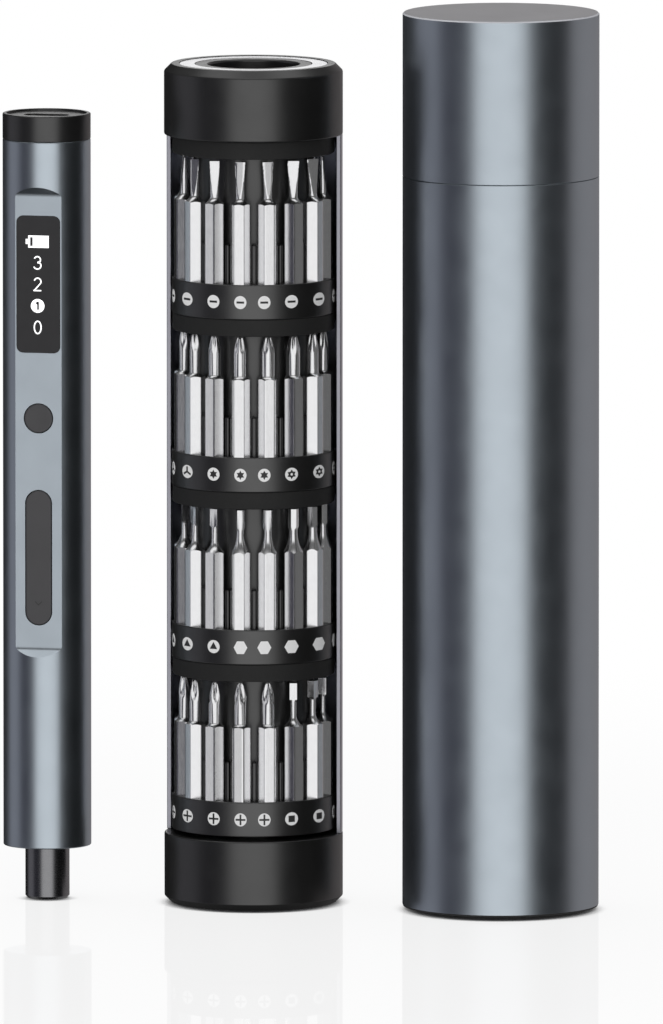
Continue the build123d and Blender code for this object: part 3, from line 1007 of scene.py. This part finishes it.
def ringSettings(finish, radius, level, count=None, tiers=1, first=0):
    return {
        "Count": count or ringLook["perRing"],
        "Tiers": tiers,
        "First angle": frontAngle + first * placeStep,
        "Step": placeStep,
        "Radius": radius,
        "Level": level,
        "Tier pitch": ringLook["pitch"],
        "Finish": finish,
    }


coreLook = {
    "dockGap": 0.25 * mm,
    "dockEdge": 0.5 * mm,
    "topEdge": 0.15 * mm,
    "pivotGap": 0.05 * mm,
    "pivotRise": 0.4 * mm,  # of the step over the boss of the base
}


def buildCore():
    look = coreLook
    low, high = nodeBox("core_tube")
    dock = radiusOf("barrel") + look["dockGap"]
    pivot = towerLook["pivot"] + look["pivotGap"]
    step = nodeBox("tower_base")[1].z + look["pivotRise"]
    tube = lathe("coreTube", [
        (pivot, low.z, 0),
        (coreRadius, low.z, 0),
        (coreRadius, high.z, look["topEdge"]),
        (dock, high.z, look["dockEdge"]),
        (dock, step, 0),
        (pivot, step, 0),
    ], towerAxis)
    dress(tube, "bit_core", satinBlack, ["core_tube"])


def stackRings(name, bands, radius):
    bm = bmesh.new()
    for bottom, top in bands:
        bm.from_mesh(meshOf(lathe("ring", [
            (coreRadius, bottom, 0),
            (radius, bottom, ringLook["edge"]),
            (radius, top, ringLook["edge"]),
            (coreRadius, top, 0),
        ], towerAxis)))
    return pieceFrom(name, bm)


def buildRings():
    look = ringLook
    levels = [ringLow + tier * look["pitch"] for tier in range(look["tiers"])]
    rings = stackRings("bitRings", [(level, level + look["height"]) for level in levels], ringRadius)
    pockets = ringSettings(tierBlack, look["bitCircle"], ringTop, tiers=look["tiers"])
    pockets["Pocket radius"] = look["pocketWide"] / 2 / cos(pi / 6)
    pockets["Pocket depth"] = 2 * look["pocketDepth"]
    grow(rings, ringPockets, pockets, sharpAngle=32)
    dress(rings, "bit_core", tierBlack, ["bit_rings"])
    highest = nodeBox("bit_rings")[1].z
    bands = [(level - look["plate"], level) for level in levels[1:]]
    bands.append((highest - look["topPlate"], highest))
    plates = stackRings("tierPlates", bands, ringRadius - look["plateInset"])
    dress(plates, "bit_core", plateBlack)


ribLook = {
    "width": 0.9 * mm,
    "inner": 12.7 * mm,
    "outer": 15.4 * mm,
    "height": 8.4 * mm,
    "sink": 0.2 * mm,
    "rounding": 0.3 * mm,
}


def buildRibs():
    look = ribLook
    shape = roundedBar(look["outer"] - look["inner"], look["width"], look["rounding"], steps=3)
    layers = roundedTop(-look["sink"], look["height"], look["rounding"], steps=2)
    rib = meshOf(slab("rib", shape, layers, Matrix.Identity(4)))
    middle = (look["outer"] + look["inner"]) / 2
    settings = ringSettings(satinBlack, middle, ringTop, tiers=ringLook["tiers"], first=0.5)
    dress(arrayPiece("tierRibs", [rib], settings), "bit_core", satinBlack)


buildCore()
buildRings()
buildRibs()
print("core and rings turned")


# bits: hex shank, a turned flare at its end, a neck, and a head for each kind

bitLook = {
    "across": 4.0 * mm,
    "length": 28.35 * mm,
    "shank": 18.7 * mm,
    "samples": 72,
    "worn": 0.985,  # how far out the hex corners reach
    "endInset": 0.3 * mm,
    "endEdge": 0.35 * mm,
    "sharpAngle": 26,
    "sizeBend": 0.7,  # how the sizes of a kind grow
    "lifts": [-0.3 * mm, 0.1 * mm, 0.4 * mm, 0.2 * mm],  # of each tier
    # degrees that a head is turned against its hex, by place
    "headTurns": {
        "slotted_bits": {-2: 30, -1: 32, 0: -4.5, 1: 3, 2: -34, 3: -30},
        "square_bits": {2: -34},
        "hex_bits": {2: 30, 3: 30},
    },
    "twists": {"cross_bits": {0: -4}},  # degrees of play in the pocket
    "dimples": {"security_star_bits": 0.2 * mm},  # radius of the hole in the tip
    "dimpleDepth": 0.6 * mm,
}
bitTurns = [2 * pi * sample / bitLook["samples"] for sample in range(bitLook["samples"])]


def shankRadius(turn):
    corner = bitLook["across"] / 2 / cos(pi / 6)
    return min(polygonRadius(turn, 6, bitLook["across"]), bitLook["worn"] * corner)


def evenRow(radius, height):
    return [(radius, height)] * len(bitTurns)


def flareRows(neck, height, bend, longer=0, steps=7):
    # a turned shape, so it starts lower on the corners of the hex than on the flats
    corner = max(shankRadius(turn) for turn in bitTurns)
    starts = [1 - ((shankRadius(turn) - neck) / (corner - neck)) ** (1 / bend) for turn in bitTurns]
    rows = []
    for step in range(steps + 1):
        shares = [start + (1 - start) * step / steps for start in starts]
        rows.append([
            (neck + (corner - neck) * (1 - share) ** bend, bitLook["shank"] + longer + height * share)
            for share in shares
        ])
    return rows


bladeLook = {
    "neck": 0.95 * mm,
    "edge": 0.16 * mm,
    "flare": 1.5 * mm,
    "flareBend": 1.8,
    "longer": 0.7 * mm,  # than the other shanks
    "reach": 0.25 * mm,  # past the other tips
    "taper": 0.85,
    "widenFrom": 0.25,
    "corner": 0.04 * mm,
    "rows": (0.06, 0.12, 0.2, 0.28, 0.37, 0.46, 0.56, 0.68, 0.8, 0.9, 0.98, 1),
}


def bladeHead(turnBy, width):
    # round neck with two flats that close to a thin edge
    look = bladeLook
    neck = look["neck"]
    rows = flareRows(neck, look["flare"], look["flareBend"], look["longer"])
    start = bitLook["shank"] + look["longer"] + look["flare"]
    length = bitLook["length"] + look["reach"]
    for share in look["rows"]:
        thick = neck + (look["edge"] - neck) * share ** look["taper"]
        spread = max(share - look["widenFrom"], 0) / (1 - look["widenFrom"])
        wide = neck + (width / 2 - neck) * spread - look["corner"] * (share == 1)
        row = []
        for turn in bitTurns:
            out, side = cos(turn - turnBy), sin(turn - turnBy)
            rim = ((out / neck) ** 2 + (side / wide) ** 2) ** -0.5
            row.append((min(rim, thick / max(abs(out), tiny)), start + (length - start) * share))
        rows.append(row)
    return rows


fluteLook = {
    "flare": 0.9 * mm,
    "flareBend": 1.5,
    "tipBend": 1.2,
    "tipEdge": 0.1 * mm,
    "deepen": 0.7,
    "rows": (0, 0.12, 0.25, 0.38, 0.5, 0.62, 0.74, 0.86, 0.96, 1),
}


def flutedHead(turnBy, neck, flutes, tip, taper, groove, depth, keen=0.8):
    # grooves that deepen towards a blunt tip
    look = fluteLook
    rows = flareRows(neck, look["flare"], look["flareBend"])
    start = bitLook["length"] - groove
    for share in look["rows"]:
        height = start + groove * share
        narrow = max(1 - (bitLook["length"] - height) / taper, 0)
        envelope = neck + (tip - neck) * narrow ** look["tipBend"] - look["tipEdge"] * (share == 1)
        cut = depth * share ** look["deepen"]
        rows.append([
            (envelope * (1 - cut * (0.5 - 0.5 * cos(flutes * (turn - turnBy))) ** keen), height)
            for turn in bitTurns
        ])
    return rows


facetLook = {
    "flareBend": 2.3,
    "shoulder": 0.45 * mm,
    "tipEdge": 0.2 * mm,
    "tipInset": 0.16 * mm,
}


def facetedHead(turnBy, across, sides, head, flare, neck=0, neckShare=0):
    # waist under a flat-sided head
    look = facetLook
    waist = neck + neckShare * across
    rows = flareRows(waist, flare, look["flareBend"])
    top = bitLook["length"]
    rows.append(evenRow(waist, top - head - look["shoulder"]))
    for height, inset in ((top - head, 0), (top - look["tipEdge"], 0), (top, look["tipInset"])):
        rows.append([(polygonRadius(turn - turnBy, sides, across) - inset, height) for turn in bitTurns])
    return rows


def bitMesh(headRows, dimple):
    rows = [
        [(shankRadius(turn) - bitLook["endInset"], 0) for turn in bitTurns],
        [(shankRadius(turn), bitLook["endEdge"]) for turn in bitTurns],
    ]
    rows += headRows
    top = rows[-1][0][1]
    if dimple:
        rows.append(evenRow(dimple, top))
        top -= bitLook["dimpleDepth"]
        rows.append(evenRow(dimple, top))
    bm = bmesh.new()
    loops = [[bm.verts.new((0, 0, 0))]]
    for row in rows:
        loops.append([
            bm.verts.new((radius * cos(turn), radius * sin(turn), height))
            for turn, (radius, height) in zip(bitTurns, row)
        ])
    loops.append([bm.verts.new((0, 0, top))])
    joinLoops(bm, loops)
    return meshOf(pieceFrom("bit", bm, bitLook["sharpAngle"]))


notchLook = {"share": 0.35, "length": 4 * mm, "depth": 1.0 * mm, "corner": 0.1 * mm}


def notched(mesh, size):
    # a blade cut into two prongs
    look = notchLook
    blade = addObject("spanner", mesh)
    shape = roundedBar(look["length"], look["share"] * size, look["corner"], steps=2)
    layers = [(0, bitLook["length"] - look["depth"]), (0, bitLook["length"] + mm)]
    carve(blade, [slab("notchCutter", shape, layers, Matrix.Identity(4))])
    smooth(blade.data, bitLook["sharpAngle"])
    return meshOf(blade)


# node, tier, first place, count, first and last size, maker of the head and its settings
bitSets = [
    ("cross_bits", 0, -10, 12, 1.00 * mm, 1.40 * mm, flutedHead,
     {"flutes": 4, "tip": 0.62 * mm, "taper": 3.0 * mm, "groove": 4.6 * mm, "depth": 0.72}),
    ("square_bits", 0, 2, 4, 1.60 * mm, 1.75 * mm, facetedHead,
     {"sides": 4, "neck": 0.66 * mm, "head": 3.8 * mm, "flare": 2.6 * mm}),
    ("triangle_bits", 1, -4, 4, 0.85 * mm, 1.05 * mm, facetedHead,
     {"sides": 3, "neck": 0.68 * mm, "head": 3.8 * mm, "flare": 3.0 * mm}),
    ("hex_bits", 1, 0, 12, 1.75 * mm, 2.45 * mm, facetedHead,
     {"sides": 6, "neckShare": 0.46, "head": 4.2 * mm, "flare": 4.8 * mm}),
    ("tri_wing_bits", 2, -5, 4, 1.00 * mm, 1.20 * mm, flutedHead,
     {"flutes": 3, "tip": 0.60 * mm, "taper": 2.6 * mm, "groove": 4.2 * mm, "depth": 0.65}),
    ("star_bits", 2, -1, 3, 1.30 * mm, 1.55 * mm, flutedHead,
     {"flutes": 6, "tip": 0.62 * mm, "taper": 3.4 * mm, "groove": 4.0 * mm, "depth": 0.34, "keen": 1}),
    ("security_star_bits", 2, 2, 5, 1.45 * mm, 1.20 * mm, flutedHead,
     {"flutes": 6, "tip": 0.66 * mm, "taper": 3.2 * mm, "groove": 4.4 * mm, "depth": 0.36, "keen": 1}),
    ("pentalobe_bits", 2, 7, 4, 0.95 * mm, 1.25 * mm, flutedHead,
     {"flutes": 5, "tip": 0.55 * mm, "taper": 2.8 * mm, "groove": 3.6 * mm, "depth": 0.3, "keen": 1}),
    ("slotted_bits", 3, -4, 10, 1.45 * mm, 2.95 * mm, bladeHead, {}),
    ("spanner_bits", 3, 6, 6, 2.60 * mm, 1.90 * mm, bladeHead, {}),
]
bitGroup = bpy.data.collections.new("bits")  # for the lamps that light the bits alone


def camelName(node):
    first, *others = node.split("_")
    return first + "".join(word.capitalize() for word in others)


def buildBits():
    for node, tier, first, count, start, end, makeHead, settings in bitSets:
        headTurns = bitLook["headTurns"].get(node, {})
        twists = bitLook["twists"].get(node, {})
        sources = []
        for place in range(first, first + count):
            size = start + (end - start) * ((place - first) / (count - 1)) ** bitLook["sizeBend"]
            rows = makeHead(radians(headTurns.get(place, 0)), size, **settings)
            source = bitMesh(rows, bitLook["dimples"].get(node, 0))
            if node == "spanner_bits":
                source = notched(source, size)
            source.transform(Matrix.Rotation(radians(twists.get(place, 0)), 4, "Z"))
            sources.append(source)
        level = bitLow + tier * ringLook["pitch"] + bitLook["lifts"][tier]
        spots = ringSettings(bitSteel, ringLook["bitCircle"], level, count=count, first=first)
        bits = arrayPiece(camelName(node), sources, spots)
        bitGroup.objects.link(bits)
        dress(bits, "bit_core", bitSteel, [node])


buildBits()
print("bits ground:", sum(bitSet[3] for bitSet in bitSets))


# printed labels under the bits: a pale disc with a dark sign of the bit's kind

labelLook = {
    "radius": 1.42 * mm,
    "drop": 3.75 * mm,  # below the top of the ring
    "paleLift": 0.02 * mm,
    "darkLift": 0.035 * mm,
    "sink": 0.05 * mm,
    "step": 0.4 * mm,  # longest side of an outline
    "hexRadius": 1.58 * mm,
    "dotRadius": 0.28 * mm,
    "nudges": {-2: 1.5, -1: 3.9, 0: 1.5, 1: -4.2, 2: -6.5, 3: -3.3},  # degrees off the bit, by place
    "spreads": {-2: 1.33, -1: 1.04, 0: 0.94, 1: 0.96, 2: 1.1, 3: 1.4},  # width by place
}


def fineOutline(corners):
    # long sides cut into short steps, so that they bend with the ring
    points = []
    for corner, following in zip(corners, corners[1:] + corners[:1]):
        side = Vector(following) - Vector(corner)
        steps = ceil(side.length / labelLook["step"])
        points += [Vector(corner) + side * step / steps for step in range(steps)]
    return points


def curvedPatch(corners, lift):
    # a thin patch of star-shaped outline, bent to the ring
    outline = fineOutline(corners)
    bm = bmesh.new()
    loops = []
    shares = [(0, 0), (0.5, 0), (1, 0), (1, 1), (0, 1)]
    for share, under in shares:
        height = -labelLook["sink"] if under else lift
        points = outline if share else outline[:1]
        loop = []
        for x, y in points:
            turn = share * x / ringRadius
            reach = ringRadius + height
            loop.append(bm.verts.new((reach * cos(turn) - ringRadius, reach * sin(turn), share * y)))
        loops.append(loop)
    joinLoops(bm, loops)
    return meshOf(pieceFrom("patch", bm))


def starOutline(points, outer, inner):
    tips = circlePoints(outer, points, pi / 2)
    dips = circlePoints(inner, points, pi / 2 + pi / points)
    return [corner for pair in zip(tips, dips) for corner in pair]


def barOutline(width, height):
    x, y = width / 2, height / 2
    return [(x, -y), (x, 0), (x, y), (x / 2, y), (0, y), (-x / 2, y),
            (-x, y), (-x, 0), (-x, -y), (-x / 2, -y), (0, -y), (x / 2, -y)]


def armsOutline(arms, reach, half, turnBy):
    # arms of even width round a middle
    points = []
    inner = half / sin(pi / arms)
    for arm in range(arms):
        turn = turnBy + 2 * pi * arm / arms
        for along, across in ((reach, -half), (reach, half)):
            points.append((along * cos(turn) - across * sin(turn), along * sin(turn) + across * cos(turn)))
        notch = turn + pi / arms
        points.append((inner * cos(notch), inner * sin(notch)))
    return points


# hex bits have a label of their shape and no sign on it
labelSigns = {
    "cross_bits": armsOutline(4, reach=1.14 * mm, half=0.20 * mm, turnBy=0),
    "square_bits": circlePoints(0.98 * mm, 4, turnBy=pi / 4),
    "triangle_bits": circlePoints(1.02 * mm, 3, turnBy=pi / 2),
    "tri_wing_bits": armsOutline(3, reach=1.10 * mm, half=0.20 * mm, turnBy=pi / 2),
    "star_bits": starOutline(6, outer=1.00 * mm, inner=0.56 * mm),
    "security_star_bits": starOutline(6, outer=1.04 * mm, inner=0.64 * mm),
    "pentalobe_bits": starOutline(5, outer=1.00 * mm, inner=0.64 * mm),
    "slotted_bits": barOutline(width=1.75 * mm, height=0.45 * mm),
    "spanner_bits": barOutline(width=1.5 * mm, height=0.6 * mm),
}


def nudgeLabel(vertices, place):
    nudge = radians(labelLook["nudges"].get(place, 0))
    spread = labelLook["spreads"].get(place, 1) - 1
    middle = atan2(vertices[0].co.y, vertices[0].co.x)
    for vertex in vertices:
        off = atan2(vertex.co.y, vertex.co.x) - middle
        vertex.co = Matrix.Rotation(nudge + spread * off, 3, "Z") @ vertex.co


def buildLabels():
    look = labelLook
    discMesh = curvedPatch(circlePoints(look["radius"], count=28), look["paleLift"])
    hexMesh = curvedPatch(circlePoints(look["hexRadius"], count=6), look["paleLift"])
    dotMesh = curvedPatch(circlePoints(look["dotRadius"], count=10), look["darkLift"] + look["paleLift"])
    pale = bmesh.new()
    dark = bmesh.new()
    for node, tier, first, count in [bitSet[:4] for bitSet in bitSets]:
        level = ringTop - look["drop"] + tier * ringLook["pitch"]
        sign = labelSigns.get(node)
        layers = [(pale, discMesh if sign else hexMesh, labelInk)]
        if sign:
            layers.append((dark, curvedPatch(sign, look["darkLift"]), markInk))
        if node in ("security_star_bits", "spanner_bits"):
            layers.append((pale, dotMesh, labelInk))
        for target, mesh, finish in layers:
            settings = ringSettings(finish, ringRadius, level, count=count, first=first)
            batch = arrayPiece("labelBatch", [mesh], settings)
            size = len(mesh.vertices)
            for place in range(first, first + count):
                mark = (place - first) * size
                nudgeLabel(batch.data.vertices[mark:mark + size], place)
            target.from_mesh(batch.data)
            bpy.data.objects.remove(batch)
    dress(pieceFrom("labelDiscs", pale), "bit_core", labelInk)
    dress(pieceFrom("labelSigns", dark), "bit_core", markInk)


buildLabels()
print("labels printed")


# case: tube with a spigot, foot and lid

caseLook = {
    "wall": 1.55 * mm,
    "floor": 2.4 * mm,
    "spigot": 20.3 * mm,
    "seam": 158.55 * mm,
    "seamGap": 0.1 * mm,
    "rimInset": 0.12 * mm,  # the tube steps in round the bottom; that band takes the foot's black as painted shade
    "rimHeight": 0.4 * mm,
    "innerEdge": 0.4 * mm,
    "footEdge": 0.2 * mm,
    "lidGap": 0.05 * mm,
    "crownEdge": 0.04 * mm,
    "edge": 0.12 * mm,
    "topEdge": 0.28 * mm,
    "seamEdge": 0.12 * mm,
    "lidTop": 2.0 * mm,
}


def buildCase():
    look = caseLook
    axis = axisOf("case_tube")
    low, high = nodeBox("case_tube")
    radius = radiusOf("case_tube")
    bore = radius - look["wall"]
    tube = lathe("caseTube", [
        (0, low.z, 0),
        (radius - look["rimInset"], low.z, look["edge"]),
        (radius - look["rimInset"], low.z + look["rimHeight"], 0),
        (radius, low.z + look["rimHeight"], 0),
        (radius, look["seam"], look["seamEdge"]),
        (look["spigot"], look["seam"], 0),
        (look["spigot"], high.z, look["seamEdge"]),
        (bore, high.z, look["seamEdge"]),
        (bore, low.z + look["floor"], look["innerEdge"]),
        (0, low.z + look["floor"], 0),
    ], axis, segments=192)
    dress(tube, "case", gunmetal, ["case_tube"])
    # painted shade: the bottom band of the metal tube gets the rubber foot's black, standing in for the dark
    # foot and the shadow under the case
    paintFaces(tube, footAndShadowBlack, lambda face: face.center.z < low.z + look["rimHeight"])
    footLow, footHigh = nodeBox("case_foot")
    foot = lathe("caseFoot", [
        (0, footLow.z, 0),
        (radiusOf("case_foot"), footLow.z, look["footEdge"]),
        (radiusOf("case_foot"), footHigh.z, 0),
        (0, footHigh.z, 0),
    ], axis)
    dress(foot, "case", footAndShadowBlack, ["case_foot"])
    lidTop = nodeBox("case_lid")[1].z
    lidBore = look["spigot"] + look["lidGap"]
    crown = lidTop - look["topEdge"]
    lid = lathe("caseLid", [
        (lidBore, look["seam"] + look["seamGap"], look["seamEdge"]),
        (radius, look["seam"] + look["seamGap"], look["seamEdge"]),
        (radius, crown, look["crownEdge"]),
        (radius - look["topEdge"], lidTop, look["crownEdge"]),
        (0, lidTop, 0),
        (0, lidTop - look["lidTop"], 0),
        (lidBore, lidTop - look["lidTop"], look["innerEdge"]),
    ], axis, segments=192)
    dress(lid, "lid", gunmetal, ["case_lid"])
    # painted shade: the lid's flat top gets the darker copy of the anodised finish
    paintFaces(lid, lidTopShadedMetal, lambda face: face.center.z > crown and face.normal.z > squareOn)
    # painted highlight: the pale grey goes on the rim round the lid's top
    paintFaces(lid, cutEdge, lambda face: face.center.z > crown and face.normal.z <= squareOn)


buildCase()
print("case turned")


# inner pieces keep their own solids and get a finish

innerFinishes = {
    "usb_socket": platedSteel,
    "charge_board": boardGreen,
    "display_panel": lensBlack,
    "circuit_board": boardGreen,
    "tact_switches": platedSteel,
    "chassis": frameGrey,
    "battery_cell": cellBlue,
    "motor": motorSteel,
    "gearbox": motorSteel,
    "bit_magnet": platedSteel,
}
for node, finish in innerFinishes.items():
    slots = frame["nodes"][node].data.materials
    slots.clear()
    slots.append(finish)


# studio: pale floor, soft lamps, and a surround that is white to the camera and banded to reflections

studioLook = {
    "floorSize": 6.0,
    "floorColour": (0.92, 0.92, 0.93),
    "floorRough": 0.6,
    "floorMirror": 0.10,
    "paintedShadowReach": 3.5 * mm,
    "paintedShadowDark": 0.5,  # share of open view where the painted shadow on the floor is darkest, and where it is clear
    "paintedShadowOpen": 0.95,
    "paintedShadowColour": (0.03, 0.03, 0.035, 1),
    "glow": 0.90,  # share of white even close to the pieces
    "fadeFrom": 0.16,
    "fadeTo": 0.45,
    "ambient": 0.62,
    # degrees from the camera's bearing, positive to its right, brightness there and its tint
    "around": [(-180, 1.0, "plain"), (-176, 1.0, "plain"), (-173.5, 0.02, "plain"), (-124, 0.02, "plain"),
               (-114, 0.29, "cool"), (-80, 0.29, "cool"), (-72, 0.055, "blue"), (-36, 0.055, "blue"),
               (-27, 1.0, "plain"), (25, 1.0, "plain"), (36, 0.015, "cool"), (82, 0.015, "cool"),
               (94, 0.27, "mauve"), (116, 0.29, "mauve"), (130, 0.28, "mauve"), (147, 0.25, "mauve"),
               (172.5, 0.25, "mauve"), (175, 1.0, "plain"), (180, 1.0, "plain")],
    "tints": {"plain": (1, 1, 1), "cool": (0.97, 0.96, 1.06), "blue": (0.86, 0.84, 1.10),
              "mauve": (1.07, 1.0, 1.01)},
    # heights, 1 right overhead, between which the bands turn to another brightness
    "heights": [(0.32, 0.48, 0.12), (0.74, 0.86, 1.0), (0.955, 0.985, 0.35),
                (-0.5, -0.62, 0.25), (-0.83, -0.92, 0.015)],
    "lampAim": 0.09,
    "flagReach": 45 * mm,  # how far off a flag is still reflected
    "flagHeight": 181.5 * mm,
}
# degrees from the camera's bearing, distance, height, size, power, and what it lights if not everything
lampLook = {
    "frontSoftbox": (2, 1.3, 0.75, (0.5, 1.3), 4),
    "topSoftbox": (-150, 0.5, 1.5, (1.2, 1.2), 10),
    "leftStrip": (-68, 0.5, 0.06, (0.14, 0.7), 0.19, bitGroup),
    "rightStrip": (50, 0.5, 0.06, (0.13, 0.7), 0.15, bitGroup),
    "bitFill": (65, 29 * mm, 0.09, (0.021, 0.16), 0.0013, bitGroup),
}
# near corner, length, turn in degrees, side that sees it, colour
flagLook = {
    "driverFlag": ((-24 * mm, -18 * mm), 16 * mm, 0, -1, (0.01, 0.01, 0.01)),
    "towerFlag": ((31 * mm, -24 * mm), 21 * mm, 0, -1, (0.01, 0.01, 0.01)),
    "caseFlag": ((31.7 * mm, -15.1 * mm), 30 * mm, 15, 1, (0.075, 0.07, 0.075)),
}
photoLook = {
    "bearing": 12.6,  # degrees from the front, towards +X
    "rise": 6.7,
    "lens": 1000,
    "clipEnd": 60,
    "frameHeight": 0.2207,
    "sideways": 16.8 * mm,  # from the tower's axis to the middle of the picture
    "level": 84.4 * mm,
}


def bearingVector(degreesRight):
    # points from the object towards the camera, turned to the camera's right
    turn = radians(photoLook["bearing"] + degreesRight)
    return Vector((sin(turn), -cos(turn), 0))


def buildFloor():
    look = studioLook
    bm = bmesh.new()
    corners = rectangle(0, 0, look["floorSize"], look["floorSize"])
    bm.faces.new([bm.verts.new((x, y, 0)) for x, y in corners])
    floorPiece = pieceFrom("floor", bm)
    material, shader = newSurface(
        "paleFloor", look["floorColour"], 0, look["floorRough"], {"Specular IOR Level": 0})
    tree = material.node_tree
    white = addNode(tree, "ShaderNodeEmission")[0]
    bright = mixShaders(tree, look["glow"], shader.outputs[0], white)
    mirror = addNode(tree, "ShaderNodeBsdfGlossy", {"Roughness": 0})[0]  # a sharp mirror shows no flags
    polish = mixShaders(tree, look["floorMirror"], bright, mirror)
    # painted shadow: the floor is darkened where something stands close behind, as under a light from the
    # back
    back = addNode(tree, "ShaderNodeCombineXYZ", dict(zip("XYZ", -bearingVector(0))))[0]
    contact = addNode(tree, "ShaderNodeAmbientOcclusion", {"Distance": look["paintedShadowReach"], "Normal": back})
    openness = smoothRange(tree, contact["AO"], look["paintedShadowDark"], look["paintedShadowOpen"])
    shade = addNode(tree, "ShaderNodeBsdfDiffuse", {"Color": look["paintedShadowColour"]})[0]
    withPaintedShadow = mixShaders(tree, openness, shade, polish)
    spot = addNode(tree, "ShaderNodeTexCoord")["Object"]
    distance = addNode(tree, "ShaderNodeVectorMath", {0: spot}, operation="LENGTH")["Value"]
    fade = smoothRange(tree, distance, look["fadeFrom"], look["fadeTo"])
    showShader(material, mixShaders(tree, fade, withPaintedShadow, white))
    floorPiece.data.materials.append(material)
    floorPiece.visible_glossy = False  # the pieces reflect the surround instead


def softLamp(name, turn, distance, level, size, power, group=None):
    data = bpy.data.lights.new(name, "AREA")
    data.shape = "RECTANGLE"
    data.size, data.size_y = size
    data.energy = power
    lamp = addObject(name, data)
    lamp.visible_camera = False
    lamp.visible_glossy = group is not None
    lamp.light_linking.receiver_collection = group
    lamp.location = bearingVector(turn) * distance + Vector((0, 0, level))
    aim = Vector((0, 0, studioLook["lampAim"])) - lamp.location
    lamp.rotation_euler = aim.to_track_quat("-Z", "Y").to_euler()


def buildFlag(name, spot, run, turn, facing, colour):
    # dark card that only one side sees, and only in reflections from close by
    near = Vector((*spot, mm))
    far = near + Vector((-sin(radians(turn)), cos(radians(turn)), 0)) * run
    up = Vector((0, 0, studioLook["flagHeight"]))
    card = bpy.data.meshes.new(name)
    card.from_pydata([near, near + up, far + up, far], [], [(0, 1, 2, 3) if facing < 0 else (3, 2, 1, 0)])
    flag = addObject(name, card)
    material, shader = newSurface(name, colour, 0, 1)
    tree = material.node_tree
    side = addNode(tree, "ShaderNodeNewGeometry")["Backfacing"]
    path = addNode(tree, "ShaderNodeLightPath")
    away = mathNode(tree, "GREATER_THAN", path["Ray Length"], studioLook["flagReach"])
    hide = mathNode(tree, "MAXIMUM", mathNode(tree, "MAXIMUM", side, away), path["Is Singular Ray"])
    clear = addNode(tree, "ShaderNodeBsdfTransparent")[0]
    showShader(material, mixShaders(tree, hide, shader.outputs[0], clear))
    card.materials.append(material)
    flag.visible_camera = False
    flag.visible_diffuse = False
    flag.visible_transmission = False
    flag.visible_shadow = False


def surroundColour(tree):
    # bands round the horizon for reflections, a bright ceiling and a dark floor
    look = studioLook
    coords = addNode(tree, "ShaderNodeTexCoord")["Generated"]
    turned = addNode(tree, "ShaderNodeMapping", {
        "Vector": coords, "Rotation": (0, 0, radians(90 - photoLook["bearing"]))})[0]
    gradient = addNode(tree, "ShaderNodeTexGradient", {"Vector": turned}, gradient_type="RADIAL")["Fac"]
    bands = tree.nodes.new("ShaderNodeValToRGB")
    tree.links.new(gradient, bands.inputs["Fac"])
    stops = bands.color_ramp.elements
    for turn, level, tint in look["around"]:
        stop = stops.new(turn / 360 + 0.5)
        stop.color = [level * share for share in look["tints"][tint]] + [1]
    stops.remove(stops[0])
    stops.remove(stops[-1])
    colour = bands.outputs["Color"]
    height = addNode(tree, "ShaderNodeSeparateXYZ", {0: coords})["Z"]
    for start, end, level in look["heights"]:
        colour = mixColours(tree, smoothRange(tree, height, start, end), colour, (level, level, level, 1))
    return colour


def buildWorld():
    world = bpy.data.worlds.new("studio")
    bpy.context.scene.world = world
    world.use_nodes = True
    tree = world.node_tree
    tree.nodes.clear()
    white = (1, 1, 1, 1)
    ambient = addNode(tree, "ShaderNodeBackground", {"Color": white, "Strength": studioLook["ambient"]})[0]
    reflected = addNode(tree, "ShaderNodeBackground", {"Color": surroundColour(tree)})[0]
    seen = addNode(tree, "ShaderNodeBackground", {"Color": white})[0]
    path = addNode(tree, "ShaderNodeLightPath")
    straight = mathNode(tree, "MAXIMUM", path["Is Camera Ray"], path["Is Transmission Ray"])
    indirect = mixShaders(tree, path["Is Glossy Ray"], ambient, reflected)
    addNode(tree, "ShaderNodeOutputWorld", {"Surface": mixShaders(tree, straight, indirect, seen)})


def buildCamera():
    look = photoLook
    data = bpy.data.cameras.new("photoCamera")
    data.lens = look["lens"]
    data.clip_end = look["clipEnd"]
    camera = addObject("photoCamera", data)
    bpy.context.scene.camera = camera
    towards = bearingVector(0)
    right = Vector((-towards.y, towards.x, 0))
    aim = right * look["sideways"] + Vector((0, 0, look["level"]))
    rise = radians(look["rise"])
    distance = look["lens"] / data.sensor_width * look["frameHeight"]
    outwards = towards * cos(rise) + Vector((0, 0, sin(rise)))
    camera.location = aim + outwards * distance
    camera.rotation_euler = outwards.to_track_quat("Z", "Y").to_euler()


buildFloor()
for flagName, flagSettings in flagLook.items():
    buildFlag(flagName, *flagSettings)
for lampName, lampSettings in lampLook.items():
    softLamp(lampName, *lampSettings)
buildWorld()
buildCamera()
bpy.context.scene.view_settings.view_transform = "Standard"
print("studio set")
